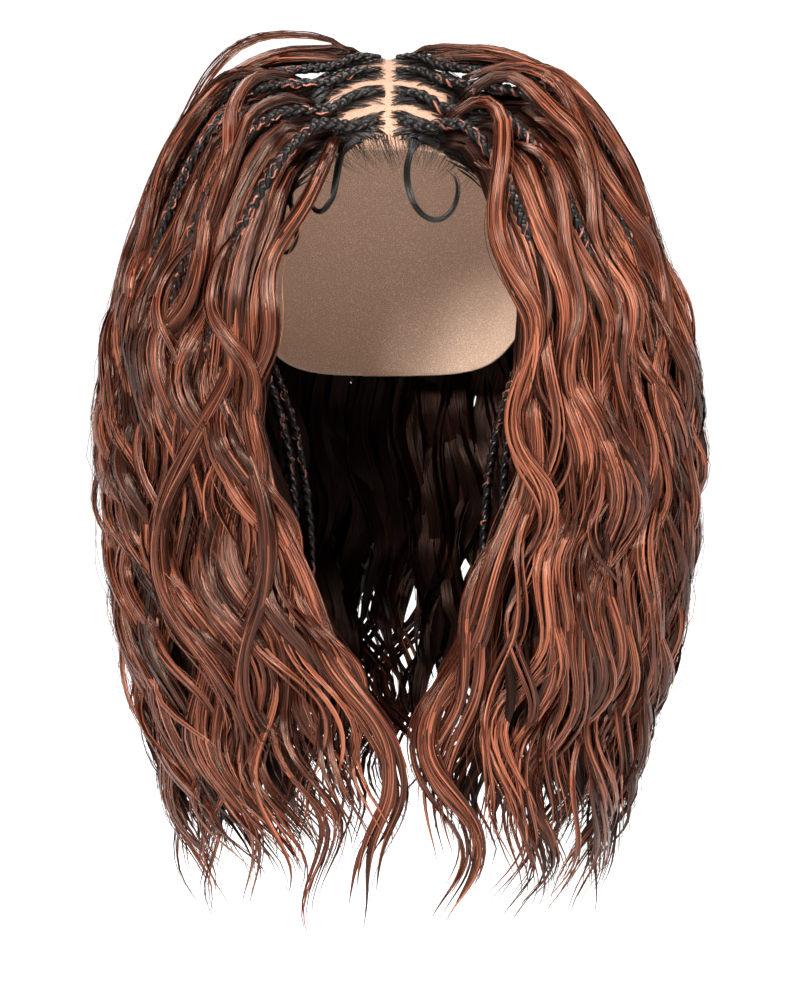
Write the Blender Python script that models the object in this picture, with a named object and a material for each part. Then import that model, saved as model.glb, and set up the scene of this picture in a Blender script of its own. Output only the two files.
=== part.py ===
"""A braid wig: a lace cap with a centre parting, plaited braids rooted along it, and long loose
waves that hang from the cap on the left, on the right and at the back.

Metres, +Z up. The origin is the inside of the cap at the crown, where the wig sits on a head.
The face looks along -Y, and left and right are as seen from the front: left is -X.
"""

import math

import bmesh
import bpy
from mathutils import Vector
from mathutils.bvhtree import BVHTree

# The lace cap
HEAD_WIDTH = 0.156
HEAD_LENGTH = 0.196
HEAD_RISE = 0.112  # from the widest level of the head up to the crown
LACE_WALL = 0.0012
SEAT_GAP = 0.0004  # between any two pieces that lie on each other
CAP_SIDES = 22
CAP_RINGS = 12

# The loose hair
HAIR_DROP = 0.43  # from the crown down to the tips
HAIR_LEFT = 0.145  # reach from the middle of the head
HAIR_RIGHT = 0.156
HAIR_FRONT = 0.108
HAIR_BACK = 0.132
ROOT_REACH = 0.028  # how far from the parting the loose hair begins
PART_FRONT = 0.075  # the parting's length before and behind the crown
PART_BACK = 0.048
ROOT_LIFT = 0.006
BACKING_INSET = 0.0075  # how deep the hair behind the locks lies
BACKING_FRINGE = 0.05  # how far its lower edge steps up and down, along the hair
SIDE_END_DEG = 118.7  # where the side hair ends and the back hair begins
BACK_START_DEG = 119.3
INNER_TURN_DEG = 14.0  # how much further round the hair's inner face begins than its outer one

# One lock of loose hair
LOCK_WIDTH = 0.046
LOCK_THICKNESS = 0.022
LOCK_ROOT_SHARE = 0.40
LOCK_TIP_SHARE = 0.14
LOCK_GROWN = 0.25  # the share of its length where a lock has its full width
LOCK_THINS = 0.55  # and where it begins to thin
LOCK_TAPER = 1.6
LOCK_SIDES = 6
LOCK_STEP = 0.035
LOCK_START = 0.14
WAVE_LENGTH = 0.118
WAVE_SWAY = 0.008
WAVE_LIFT = 0.004

# One braid
BRAID_WIDTH = 0.0072
BRAID_ZIGZAG = 0.0008  # how far each crossing of the strands steps sideways
BRAID_STEP = 0.0100  # from one crossing to the next that is modelled
BRAID_RESOLUTION = 1  # gives the tube six sides
BRAID_ROOT_SHARE = 0.5
BRAID_TIP_SHARE = 0.35
BRAID_GROWN = 0.12  # the share of its length where a braid has its full width
BRAID_THINS = 0.85  # and where it begins to thin
CHANNEL_STEP = 0.020  # the length of the channel's straight runs
CHANNEL_GAP = 0.0013  # the channel's straight runs cut the corners of the braid's bends
CHANNEL_RESOLUTION = 0  # gives the channel four sides

# One gelled curl at the hairline
CURL_WIDTH = 0.0019
CURL_STEP = 0.0066
CURL_TIP_SHARE = 0.4

DOME_SPREAD = 0.72  # the dome's width grows with this power of the way down it
DOME_FALL = 2.3
DOME_END = 0.226  # share of HAIR_DROP where the dome ends and the hair hangs

# The hair's outline as it hangs. fall is a share of HAIR_DROP, the others are shares of
# HAIR_LEFT or HAIR_RIGHT, HAIR_FRONT and HAIR_BACK.
HANG = (
    # fall, side, front, back
    (0.226, 0.87, 0.96, 0.95),
    (0.30, 0.95, 1.00, 1.00),
    (0.40, 1.00, 1.00, 1.00),
    (0.52, 1.00, 1.00, 0.98),
    (0.65, 0.95, 0.99, 0.94),
    (0.76, 0.88, 0.98, 0.89),
    (0.86, 0.80, 0.96, 0.84),
    (1.00, 0.67, 0.92, 0.76),
)

# The hollow for the head and neck. side is a share of half HEAD_WIDTH, the others of half
# HEAD_LENGTH.
HOLLOW = (
    # fall, side, front, back
    (0.226, 0.97, 0.97, 0.97),
    (0.30, 1.05, 0.98, 1.03),
    (0.40, 1.08, 0.90, 0.98),
    (0.52, 1.08, 0.84, 0.92),
    (0.65, 1.08, 0.80, 0.88),
    (0.76, 1.12, 0.82, 0.88),
    (1.00, 1.12, 0.82, 0.88),
)

# Where the hair's front edge lies, in degrees from the front. along runs from 0 at the root
# to 1 at the end of the dome and 2 at the tips.
FRONT_EDGE = (
    # along, left, right
    (0.00, 20.0, 20.0),
    (0.50, 27.0, 26.0),
    (1.00, 28.0, 26.0),
    (1.22, 25.0, 24.0),
    (1.38, 17.0, 18.5),
    (1.49, 11.0, 13.5),
    (1.56, 7.5, 12.5),
    (1.63, 4.5, 12.0),
    (1.70, 1.5, 9.5),
    (2.00, 1.5, 9.5),
)

# The rows of the backing, and its columns on a side and at the back
BACKING_ROWS = (0.0, 0.12, 0.30, 0.52, 0.76, 1.0, 1.10, 1.24, 1.40, 1.56, 1.70)
SIDE_COLUMNS = 6
BACK_COLUMNS = 7

# The locks of each part of the hair. place is the share of the way from its front edge to
# its back edge, tip and start are measured along the hair, phase is in whole waves.
LOCKS_LEFT = (
    # place, width, tip, phase
    (0.12, 0.74, 1.99, 0.10),
    (0.28, 1.00, 1.90, 0.62),
    (0.45, 1.05, 1.97, 0.25),
    (0.61, 1.00, 1.86, 0.80),
    (0.76, 0.95, 1.93, 0.40),
    (0.865, 0.75, 1.85, 0.95),
)
LOCKS_RIGHT = (
    (0.11, 0.80, 2.00, 0.55),
    (0.28, 1.00, 1.92, 0.05),
    (0.45, 1.05, 2.00, 0.70),
    (0.61, 1.00, 1.88, 0.30),
    (0.76, 0.95, 1.95, 0.85),
    (0.865, 0.75, 1.86, 0.45),
)
LOCKS_BACK = (
    (0.12, 0.80, 1.86, 0.20),
    (0.28, 1.00, 1.94, 0.75),
    (0.43, 1.00, 1.88, 0.35),
    (0.58, 1.00, 1.96, 0.90),
    (0.73, 1.00, 1.89, 0.15),
    (0.88, 0.80, 1.93, 0.60),
)

# The braids' routes. The first points lie on the cap, as shares of half HEAD_WIDTH and half
# HEAD_LENGTH from the crown. The rest lie in the hair: degrees from the front, and along.
BRAIDS = {
    "braid_left_1": (
        ((-0.06, -0.70), (-0.20, -0.715)),
        ((28.0, 0.30), (30.0, 0.46), (33.0, 0.64), (36.0, 0.84), (39.0, 1.02), (40.0, 1.14)),
    ),
    "braid_left_2": (
        ((-0.06, -0.55), (-0.20, -0.56), (-0.35, -0.57)),
        ((44.0, 0.36), (48.0, 0.56), (52.0, 0.76), (54.0, 0.96), (54.0, 1.10)),
    ),
    "braid_left_3": (
        ((-0.05, -0.36), (-0.19, -0.365), (-0.34, -0.37)),
        ((62.0, 0.28), (65.0, 0.48), (68.0, 0.68), (70.0, 0.88), (70.0, 1.06)),
    ),
    "braid_left_4": (
        ((-0.05, -0.14), (-0.19, -0.14), (-0.34, -0.14)),
        ((80.0, 0.26), (82.0, 0.45), (85.0, 0.65), (88.0, 0.85)),
    ),
    "braid_left_5": (
        ((-0.05, 0.10), (-0.19, 0.11), (-0.34, 0.12)),
        ((100.0, 0.26), (103.0, 0.45), (105.0, 0.65), (106.0, 0.85)),
    ),
    "braid_right_1": (
        ((0.06, -0.70), (0.20, -0.715)),
        ((28.0, 0.30), (29.5, 0.46), (30.5, 0.63), (31.5, 0.80), (32.0, 0.98)),
    ),
    "braid_right_2": (
        ((0.06, -0.55), (0.20, -0.56), (0.35, -0.57)),
        ((43.0, 0.36), (44.0, 0.56), (46.0, 0.76), (48.0, 0.96), (49.0, 1.08)),
    ),
    "braid_right_3": (
        ((0.05, -0.36), (0.19, -0.365), (0.34, -0.37)),
        ((58.0, 0.28), (60.0, 0.48), (63.0, 0.68), (66.0, 0.88), (67.0, 1.02)),
    ),
    "braid_right_4": (
        ((0.05, -0.14), (0.19, -0.14), (0.34, -0.14)),
        ((78.0, 0.26), (80.0, 0.45), (83.0, 0.65), (86.0, 0.85)),
    ),
    "braid_right_5": (
        ((0.05, 0.10), (0.19, 0.11), (0.34, 0.12)),
        ((100.0, 0.26), (103.0, 0.45), (105.0, 0.65), (106.0, 0.85)),
    ),
}
BRAID_SINK = 0.001  # how far a braid's middle lies under the hair's outline

# The braids beside the neck. side is a share of half HEAD_WIDTH, front of half HEAD_LENGTH,
# and drop of HAIR_DROP. The first two points lie on the cap, above its rim.
NECK_BRAIDS = {
    "neck_braid_left_1": (-1, 1.07, 1.00),
    "neck_braid_left_2": (-1, 0.86, 1.05),
    "neck_braid_right_1": (1, 1.10, 1.05),
    "neck_braid_right_2": (1, 1.36, 0.98),
}
NECK_ROUTE = (
    # side, front, drop
    (0.0, -0.02, 0.150),
    (0.0, -0.04, 0.195),
    (1.06, -0.10, 0.260),
    (0.84, -0.20, 0.340),
    (0.66, -0.28, 0.430),
    (0.58, -0.32, 0.520),
    (0.57, -0.33, 0.600),
)
NECK_SPREAD = 0.20  # how far apart the two on one side are rooted, as a share of the head

# The curls on the forehead and temples, as shares of half HEAD_WIDTH across and of HEAD_RISE
# down from the crown. The first point of each lies on the lace.
CURLS = {
    "edge_curl_right": (
        (0.17, 0.345), (0.135, 0.415), (0.115, 0.485), (0.125, 0.56), (0.165, 0.635),
        (0.235, 0.685), (0.315, 0.695), (0.395, 0.655), (0.43, 0.58), (0.415, 0.515),
        (0.36, 0.475),
    ),
    "edge_curl_left_1": (
        (-0.26, 0.37), (-0.30, 0.44), (-0.32, 0.52), (-0.345, 0.60), (-0.40, 0.655),
        (-0.45, 0.655), (-0.48, 0.615), (-0.472, 0.57),
    ),
    "edge_curl_left_2": (
        (-0.621, 0.60), (-0.58, 0.69), (-0.565, 0.77), (-0.60, 0.825), (-0.64, 0.84),
        (-0.665, 0.81), (-0.65, 0.76),
    ),
}

COLOURS = {
    "lace": ((0.42, 0.24, 0.16), 0.85),
    "braid_hair": ((0.014, 0.012, 0.012), 0.38),
    "wave_hair": ((0.26, 0.085, 0.045), 0.42),
    "edge_hair": ((0.012, 0.010, 0.010), 0.35),
}

HALF_WIDTH = HEAD_WIDTH / 2
HALF_LENGTH = HEAD_LENGTH / 2
BRAID_LIFT = BRAID_WIDTH / 2 + BRAID_ZIGZAG + SEAT_GAP
BRAID_ROOT_LIFT = BRAID_WIDTH / 2 * BRAID_ROOT_SHARE + SEAT_GAP


def clear_scene():
    for old in list(bpy.data.objects):
        bpy.data.objects.remove(old)


def new_collection(name, parent=None):
    collection = bpy.data.collections.new(name)
    (parent or bpy.context.scene.collection).children.link(collection)
    return collection


def new_material(name):
    colour, roughness = COLOURS[name]
    material = bpy.data.materials.new(name)
    material.use_nodes = True
    shader = material.node_tree.nodes["Principled BSDF"]
    shader.inputs["Base Color"].default_value = (*colour, 1.0)
    shader.inputs["Roughness"].default_value = roughness
    shader.inputs["Metallic"].default_value = 0.0
    return material


def add_object(name, data, collection, material=None):
    made = bpy.data.objects.new(name, data)
    collection.objects.link(made)
    if material:
        data.materials.append(material)
    return made


def as_cutter(made):
    made.hide_render = True
    made.display_type = "WIRE"
    return made


def add_boolean(target, others, operation):
    """One Boolean of the target with every solid of a collection."""
    boolean = target.modifiers.new(operation.lower(), "BOOLEAN")
    boolean.operation = operation
    boolean.solver = "EXACT"
    boolean.operand_type = "COLLECTION"
    boolean.collection = others


def head_shape(wall):
    """The head's form with this wall round it. The crown is at the origin when wall is 0."""
    shape = bmesh.new()
    bmesh.ops.create_uvsphere(shape, u_segments=CAP_SIDES, v_segments=CAP_RINGS, radius=1.0)
    sizes = (HALF_WIDTH + wall, HALF_LENGTH + wall, HEAD_RISE + wall)
    bmesh.ops.scale(shape, vec=sizes, verts=shape.verts)
    bmesh.ops.translate(shape, vec=(0.0, 0.0, -HEAD_RISE), verts=shape.verts)
    return shape


def head_object(name, wall, collection, material=None):
    shape = head_shape(wall)
    mesh = bpy.data.meshes.new(name)
    shape.to_mesh(mesh)
    shape.free()
    return add_object(name, mesh, collection, material)


def cap_faces():
    """The cap's outer faces, to seat the braids and curls on."""
    shape = head_shape(LACE_WALL)
    faces = BVHTree.FromBMesh(shape)
    shape.free()
    return faces


def row_at(table, where):
    """The table's values at this place, on straight lines between its rows."""
    if where <= table[0][0]:
        return table[0][1:]
    for low, high in zip(table, table[1:]):
        if where <= high[0]:
            share = (where - low[0]) / (high[0] - low[0])
            return tuple(a + (b - a) * share for a, b in zip(low[1:], high[1:]))
    return table[-1][1:]


def smooth_curve(points, step):
    """Points about a step apart on a smooth curve through the given ones."""
    ends = [2 * points[0] - points[1], *points, 2 * points[-1] - points[-2]]
    dense = []
    for before, start, end, after in zip(ends, ends[1:], ends[2:], ends[3:]):
        for i in range(20):
            t = i / 20
            dense.append(
                0.5 * (2 * start + (end - before) * t
                       + (2 * before - 5 * start + 4 * end - after) * t ** 2
                       + (3 * start - before - 3 * end + after) * t ** 3)
            )
    dense.append(points[-1])
    return even_points(dense, step)


def even_points(dense, step):
    lengths = [0.0]
    for a, b in zip(dense, dense[1:]):
        lengths.append(lengths[-1] + (b - a).length)
    count = max(3, round(lengths[-1] / step))
    evened = []
    place = 0
    for i in range(count + 1):
        wanted = lengths[-1] * i / count
        while place < len(dense) - 2 and lengths[place + 1] < wanted:
            place += 1
        share = (wanted - lengths[place]) / max(lengths[place + 1] - lengths[place], 1e-9)
        evened.append(dense[place].lerp(dense[place + 1], min(1.0, share)))
    return evened


def cap_normal(point):
    """The way out of the head at a point on or near the cap."""
    outer = LACE_WALL
    return Vector((
        point.x / (HALF_WIDTH + outer) ** 2,
        point.y / (HALF_LENGTH + outer) ** 2,
        (point.z + HEAD_RISE) / (HEAD_RISE + outer) ** 2,
    )).normalized()


def seated(point, lift):
    """This far out from the cap's face under a point near it."""
    out = cap_normal(point)
    start = point + out * HEAD_RISE / 10
    face_point = CAP_FACES.ray_cast(start, -out)[0]
    return face_point + out * lift


def on_cap(side, front, lift):
    """Over the cap's outer face, this far from the crown as shares of the head's half sizes."""
    x, y = side * HALF_WIDTH, front * HALF_LENGTH
    inside = 1 - (x / (HALF_WIDTH + LACE_WALL)) ** 2 - (y / (HALF_LENGTH + LACE_WALL)) ** 2
    z = (HEAD_RISE + LACE_WALL) * math.sqrt(max(inside, 0.0)) - HEAD_RISE
    return seated(Vector((x, y, z)), lift)


def on_forehead(side, drop, lift):
    """In front of the head, this share of its half width across and of its rise down."""
    x, z = side * HALF_WIDTH, -drop * HEAD_RISE
    inside = 1 - (x / (HALF_WIDTH + LACE_WALL)) ** 2
    inside -= ((z + HEAD_RISE) / (HEAD_RISE + LACE_WALL)) ** 2
    y = -(HALF_LENGTH + LACE_WALL) * math.sqrt(max(inside, 0.0))
    return seated(Vector((x, y, z)), lift)


def beside_head(side, front, drop, lift):
    """Over the side of the cap, this share of its half length along and of HAIR_DROP down."""
    y, z = front * HALF_LENGTH, -drop * HAIR_DROP
    inside = 1 - (y / (HALF_LENGTH + LACE_WALL)) ** 2
    inside -= ((z + HEAD_RISE) / (HEAD_RISE + LACE_WALL)) ** 2
    x = side * (HALF_WIDTH + LACE_WALL) * math.sqrt(max(inside, 0.0))
    return seated(Vector((x, y, z)), lift)


def fall_at(along):
    return DOME_END + (along - 1) * (1 - DOME_END)


def around(azimuth, fall, table, left, right, front, back):
    """A point on an outline round the head, this many degrees from the front."""
    side_share, front_share, back_share = row_at(table, fall)
    turn = math.radians(azimuth)
    across = (left if math.sin(turn) < 0 else right) * side_share
    deep = front * front_share if math.cos(turn) > 0 else back * back_share
    return Vector((across * math.sin(turn), -deep * math.cos(turn), -fall * HAIR_DROP))


def hair_surface(azimuth, along):
    """The hair's outer form: along is 0 at the root, 1 where the dome ends, 2 at the tips."""
    if along > 1:
        return around(azimuth, fall_at(along), HANG, HAIR_LEFT, HAIR_RIGHT, HAIR_FRONT, HAIR_BACK)
    root = root_point(azimuth, ROOT_LIFT)
    rim = around(azimuth, DOME_END, HANG, HAIR_LEFT, HAIR_RIGHT, HAIR_FRONT, HAIR_BACK)
    point = root.lerp(rim, along ** DOME_SPREAD)
    point.z = root.z + (rim.z - root.z) * along ** DOME_FALL
    return point


def root_point(azimuth, lift):
    turn = math.radians(azimuth)
    deep = PART_FRONT if math.cos(turn) > 0 else PART_BACK
    side = ROOT_REACH * math.sin(turn) / HALF_WIDTH
    return on_cap(side, -deep * math.cos(turn) / HALF_LENGTH, lift)


def hair_normal(azimuth, along):
    step = 0.01
    across = hair_surface(azimuth + 1, along) - hair_surface(azimuth - 1, along)
    down = hair_surface(azimuth, along + step) - hair_surface(azimuth, max(along - step, 0.0))
    return down.cross(across).normalized()


def hair_point(azimuth, along, inset):
    return hair_surface(azimuth, along) - hair_normal(azimuth, along) * inset


def inner_point(azimuth, along):
    """The inner face of the backing: inside the cap's form until the hair hangs free of it."""
    if along > 1:
        return around(
            azimuth, fall_at(along), HOLLOW, HALF_WIDTH, HALF_WIDTH, HALF_LENGTH, HALF_LENGTH
        )
    outer = hair_surface(azimuth, along)
    middle = Vector((0, 0, -HEAD_RISE))
    toward = outer - middle
    reach = Vector((toward.x / HALF_WIDTH, toward.y / HALF_LENGTH, toward.z / HEAD_RISE)).length
    return middle + toward * (row_at(HOLLOW, DOME_END)[0] / reach)


def loft(name, rings, collection, material=None):
    """A closed solid through rings of equal, even point counts. Its ends are closed by strips
    between a ring's first and second half."""
    made = bmesh.new()
    count = len(rings[0])
    rows = [[made.verts.new(point) for point in ring] for ring in rings]
    for upper, lower in zip(rows, rows[1:]):
        for i in range(count):
            j = (i + 1) % count
            made.faces.new((upper[i], upper[j], lower[j], lower[i]))
    for row in (rows[0], rows[-1]):
        for i in range(count // 2 - 1):
            made.faces.new((row[i], row[i + 1], row[count - 2 - i], row[count - 1 - i]))
    bmesh.ops.recalc_face_normals(made, faces=made.faces)
    bmesh.ops.triangulate(made, faces=made.faces)
    mesh = bpy.data.meshes.new(name)
    made.to_mesh(mesh)
    made.free()
    return add_object(name, mesh, collection, material)


def mesh_from_curve(name, curve, turned, collection, material=None):
    """A mesh of the curve's form, with its caps welded on and its faces in triangles."""
    made = add_object(name + "_curve", curve, bpy.context.scene.collection)
    made.rotation_euler = turned
    bpy.context.view_layer.update()
    graph = bpy.context.evaluated_depsgraph_get()
    mesh = bpy.data.meshes.new_from_object(made.evaluated_get(graph))
    mesh.transform(made.matrix_world)
    mesh.materials.clear()
    bpy.data.objects.remove(made)
    welded = bmesh.new()
    welded.from_mesh(mesh)
    bmesh.ops.remove_doubles(welded, verts=welded.verts, dist=1e-6)
    bmesh.ops.recalc_face_normals(welded, faces=welded.faces)
    bmesh.ops.triangulate(welded, faces=welded.faces)
    welded.to_mesh(mesh)
    welded.free()
    return add_object(name, mesh, collection, material)


def tube(name, points, radii, resolution, collection, material=None):
    """A closed tube through the points, with a radius at each."""
    curve = bpy.data.curves.new(name, "CURVE")
    curve.dimensions = "3D"
    curve.bevel_depth = 1.0
    curve.bevel_resolution = resolution
    curve.use_fill_caps = True
    spline = curve.splines.new("POLY")
    spline.points.add(len(points) - 1)
    for place, point, radius in zip(spline.points, points, radii):
        place.co = (*point, 1.0)
        place.radius = radius
    return mesh_from_curve(name, curve, (0.0, 0.0, 0.0), collection, material)


def cap_rim_cutter(collection):
    """What lies under the cap's rim: an outline seen from the side, run across the head. The
    rim drops from the hairline to a tab at the temple, clears the ear and ends at the nape."""
    outline = (
        # front, drop, as shares of half HEAD_LENGTH and of HEAD_RISE
        (-1.30, 0.36),
        (-0.81, 0.37),
        (-0.66, 0.53),
        (-0.54, 0.78),
        (-0.48, 0.94),
        (-0.34, 0.95),
        (-0.24, 0.80),
        (-0.02, 0.76),
        (0.18, 0.88),
        (0.44, 1.28),
        (0.70, 1.46),
        (1.30, 1.48),
        (1.30, 3.0),
        (-1.30, 3.0),
    )
    curve = bpy.data.curves.new("cap_rim", "CURVE")
    curve.dimensions = "2D"
    curve.fill_mode = "BOTH"
    curve.extrude = HEAD_WIDTH
    spline = curve.splines.new("POLY")
    spline.use_cyclic_u = True
    spline.points.add(len(outline) - 1)
    for place, (front, drop) in zip(spline.points, outline):
        place.co = (front * HALF_LENGTH, -drop * HEAD_RISE, 0.0, 1.0)
    across = (math.pi / 2, 0.0, math.pi / 2)
    return as_cutter(mesh_from_curve("cap_rim", curve, across, collection))


def build_cap(parts, cutters, material):
    cap = head_object("lace_cap", LACE_WALL, parts, material)
    as_cutter(head_object("head_form", 0.0, cutters))
    cap_rim_cutter(cutters)
    add_boolean(cap, cutters, "DIFFERENCE")
    return cap


def side_azimuth(sign):
    """For one side, the azimuth of a share of the way from the front edge to the back edge."""
    def azimuth(place, along, further=0.0):
        left, right = row_at(FRONT_EDGE, along)
        edge = (left if sign < 0 else right) + further
        return sign * (edge + (SIDE_END_DEG - edge) * place)
    return azimuth


def back_azimuth(place, along, further=0.0):
    return BACK_START_DEG + (360 - 2 * BACK_START_DEG) * place


def backing_rings(azimuth, columns):
    """Rows of points out along the backing's outer face and back along its inner face."""
    rings = []
    for row in BACKING_ROWS:
        inset = BACKING_INSET * min(1.0, 0.2 + 2 * row)
        outer, inner = [], []
        for i in range(columns):
            place = i / (columns - 1)
            along = row
            if row == BACKING_ROWS[-1]:
                along += BACKING_FRINGE * (-1) ** i
            outer.append(hair_point(azimuth(place, along), along, inset))
            inner.append(inner_point(azimuth(place, along, INNER_TURN_DEG), along))
        rings.append(outer + inner[::-1])
    return rings


def lock_rings(azimuth, place, width, tip, phase):
    """Six-sided sections of one lock, which sways as it falls and thins to its tip."""
    samples = 90
    alongs = [LOCK_START + (tip - LOCK_START) * i / samples for i in range(samples + 1)]
    middle = [hair_surface(azimuth(place, along), along) for along in alongs]
    lengths = [0.0]
    for a, b in zip(middle, middle[1:]):
        lengths.append(lengths[-1] + (b - a).length)
    count = round(lengths[-1] / LOCK_STEP)
    stations = []
    for i in range(count + 1):
        wanted = lengths[-1] * i / count
        at = min(range(samples + 1), key=lambda k: abs(lengths[k] - wanted))
        share = lengths[at] / lengths[-1]
        stations.append((alongs[at], lengths[at], share))
    rings = []
    for along, length, share in stations:
        turn = azimuth(place, along)
        normal = hair_normal(turn, along)
        down = hair_surface(turn, along + 0.01) - hair_surface(turn, along)
        across = normal.cross(down).normalized()
        grown = min(1.0, share / LOCK_GROWN)
        size = LOCK_ROOT_SHARE + (1 - LOCK_ROOT_SHARE) * grown
        thinned = max(0.0, (share - LOCK_THINS) / (1 - LOCK_THINS))
        size *= 1 - (1 - LOCK_TIP_SHARE) * thinned ** LOCK_TAPER
        wave = 2 * math.pi * (length / WAVE_LENGTH + phase)
        half_width = LOCK_WIDTH * width * size / 2
        half_deep = LOCK_THICKNESS * size / 2
        centre = hair_surface(turn, along) - normal * (half_deep + WAVE_LIFT * grown)
        centre += across * (WAVE_SWAY * grown * math.sin(wave))
        centre += normal * (WAVE_LIFT * grown * math.cos(wave))
        corners = [2 * math.pi * (i + 0.5) / LOCK_SIDES for i in range(LOCK_SIDES)]
        rings.append([
            centre + across * (half_width * math.cos(a)) + normal * (half_deep * math.sin(a))
            for a in corners
        ])
    return rings


def build_waves(name, azimuth, columns, locks, parts, cutters, room, material):
    """The backing with its locks fused on, cut clear of the cap and of the braids' channels."""
    waves = loft(name, backing_rings(azimuth, columns), parts, material)
    fused = new_collection(name + "_locks", cutters)
    for number, (place, width, tip, phase) in enumerate(locks, 1):
        rings = lock_rings(azimuth, place, width, tip, phase)
        as_cutter(loft(f"{name}_lock_{number}", rings, fused))
    add_boolean(waves, fused, "UNION")
    as_cutter(head_object(name + "_head_room", LACE_WALL + SEAT_GAP, room))
    add_boolean(waves, room, "DIFFERENCE")


def braid_radii(count, radius):
    """Thin where the hair is gathered at the root, full, then thinner to the tip."""
    radii = []
    for i in range(count):
        share = i / (count - 1)
        swell = BRAID_ROOT_SHARE + (1 - BRAID_ROOT_SHARE) * min(1.0, share / BRAID_GROWN)
        thinned = max(0.0, (share - BRAID_THINS) / (1 - BRAID_THINS))
        thin = 1 - (1 - BRAID_TIP_SHARE) * thinned
        radii.append(radius * swell * thin)
    return radii


def build_braid(name, route, parts, room_cutters, material):
    """A braid's tube, its crossings stepping from side to side, and the channel that it needs."""
    line = smooth_curve(route, BRAID_STEP)
    stepped = []
    for i, point in enumerate(line):
        ahead = line[min(i + 1, len(line) - 1)] - line[max(i - 1, 0)]
        aside = ahead.cross(cap_normal(point)).normalized()
        step = 0.0 if i in (0, len(line) - 1) else BRAID_ZIGZAG * (-1) ** i
        stepped.append(point + aside * step)
    radii = braid_radii(len(stepped), BRAID_WIDTH / 2)
    tube(name, stepped, radii, BRAID_RESOLUTION, parts, material)
    room = (BRAID_WIDTH / 2 + BRAID_ZIGZAG + CHANNEL_GAP) / math.cos(math.pi / 4)
    start = line[0] + (line[0] - line[1]).normalized() * CHANNEL_GAP
    end = line[-1] + (line[-1] - line[-2]).normalized() * CHANNEL_GAP
    skip = max(1, round(CHANNEL_STEP / BRAID_STEP))
    channel_line = [start, *line[skip:-skip:skip], end]
    wide = [room] * len(channel_line)
    as_cutter(tube(name + "_channel", channel_line, wide, CHANNEL_RESOLUTION, room_cutters))


def braid_route(cap_points, hair_points, sign):
    lifts = [BRAID_ROOT_LIFT] + [BRAID_LIFT] * (len(cap_points) - 1)
    route = [on_cap(side, front, lift) for (side, front), lift in zip(cap_points, lifts)]
    route += [hair_point(sign * azimuth, along, BRAID_SINK) for azimuth, along in hair_points]
    return route


def neck_route(sign, inward, length, rooted):
    """From the side of the cap down past its rim, then in beside the neck."""
    (_, first, top), (_, second, low), *hanging = NECK_ROUTE
    route = [
        beside_head(sign, first + rooted, top, BRAID_ROOT_LIFT),
        beside_head(sign, second + rooted, low, BRAID_LIFT),
    ]
    for place, (side, front, drop) in enumerate(hanging):
        share = (place + 1) / len(hanging)
        reach = side * (1 + (inward - 1) * share) * HALF_WIDTH
        deep = (front + rooted * (1 - share)) * HALF_LENGTH
        longer = 1 + (length - 1) * share
        route.append(Vector((sign * reach, deep, -drop * longer * HAIR_DROP)))
    return route


def build_curl(name, places, parts, material):
    """A flat gelled curl, from the lace onto the forehead, thinning to its tip."""
    lift = CURL_WIDTH / 2 + SEAT_GAP
    points = smooth_curve([on_forehead(side, drop, lift) for side, drop in places], CURL_STEP)
    last = len(points) - 1
    thin = 1 - CURL_TIP_SHARE
    radii = [CURL_WIDTH / 2 * (1 - thin * (i / last) ** 2) for i in range(last + 1)]
    tube(name, points, radii, BRAID_RESOLUTION, parts, material)


def build_wig():
    clear_scene()
    parts = new_collection("braid_wig")
    cutters = new_collection("cutters")
    rooms = {
        side: new_collection(f"waves_{side}_room", cutters) for side in ("left", "right", "back")
    }
    materials = {name: new_material(name) for name in COLOURS}
    for name, (cap_points, hair_points) in BRAIDS.items():
        side = "left" if "left" in name else "right"
        route = braid_route(cap_points, hair_points, -1 if side == "left" else 1)
        build_braid(name, route, parts, rooms[side], materials["braid_hair"])
    for name, (sign, inward, length) in NECK_BRAIDS.items():
        rooted = NECK_SPREAD if name.endswith("2") else 0.0
        room = rooms["left" if sign < 0 else "right"]
        build_braid(
            name, neck_route(sign, inward, length, rooted), parts, room, materials["braid_hair"]
        )
    for name, places in CURLS.items():
        build_curl(name, places, parts, materials["edge_hair"])
    build_cap(parts, new_collection("lace_cap_room", cutters), materials["lace"])
    for side, azimuth, columns, locks in (
        ("left", side_azimuth(-1), SIDE_COLUMNS, LOCKS_LEFT),
        ("right", side_azimuth(1), SIDE_COLUMNS, LOCKS_RIGHT),
        ("back", back_azimuth, BACK_COLUMNS, LOCKS_BACK),
    ):
        build_waves(
            f"waves_{side}", azimuth, columns, locks, parts, cutters, rooms[side],
            materials["wave_hair"],
        )


CAP_FACES = cap_faces()
build_wig()
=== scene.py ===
"""A braid wig: fine plaits over long copper waves, on a lace cap with a centre parting."""

import math

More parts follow.
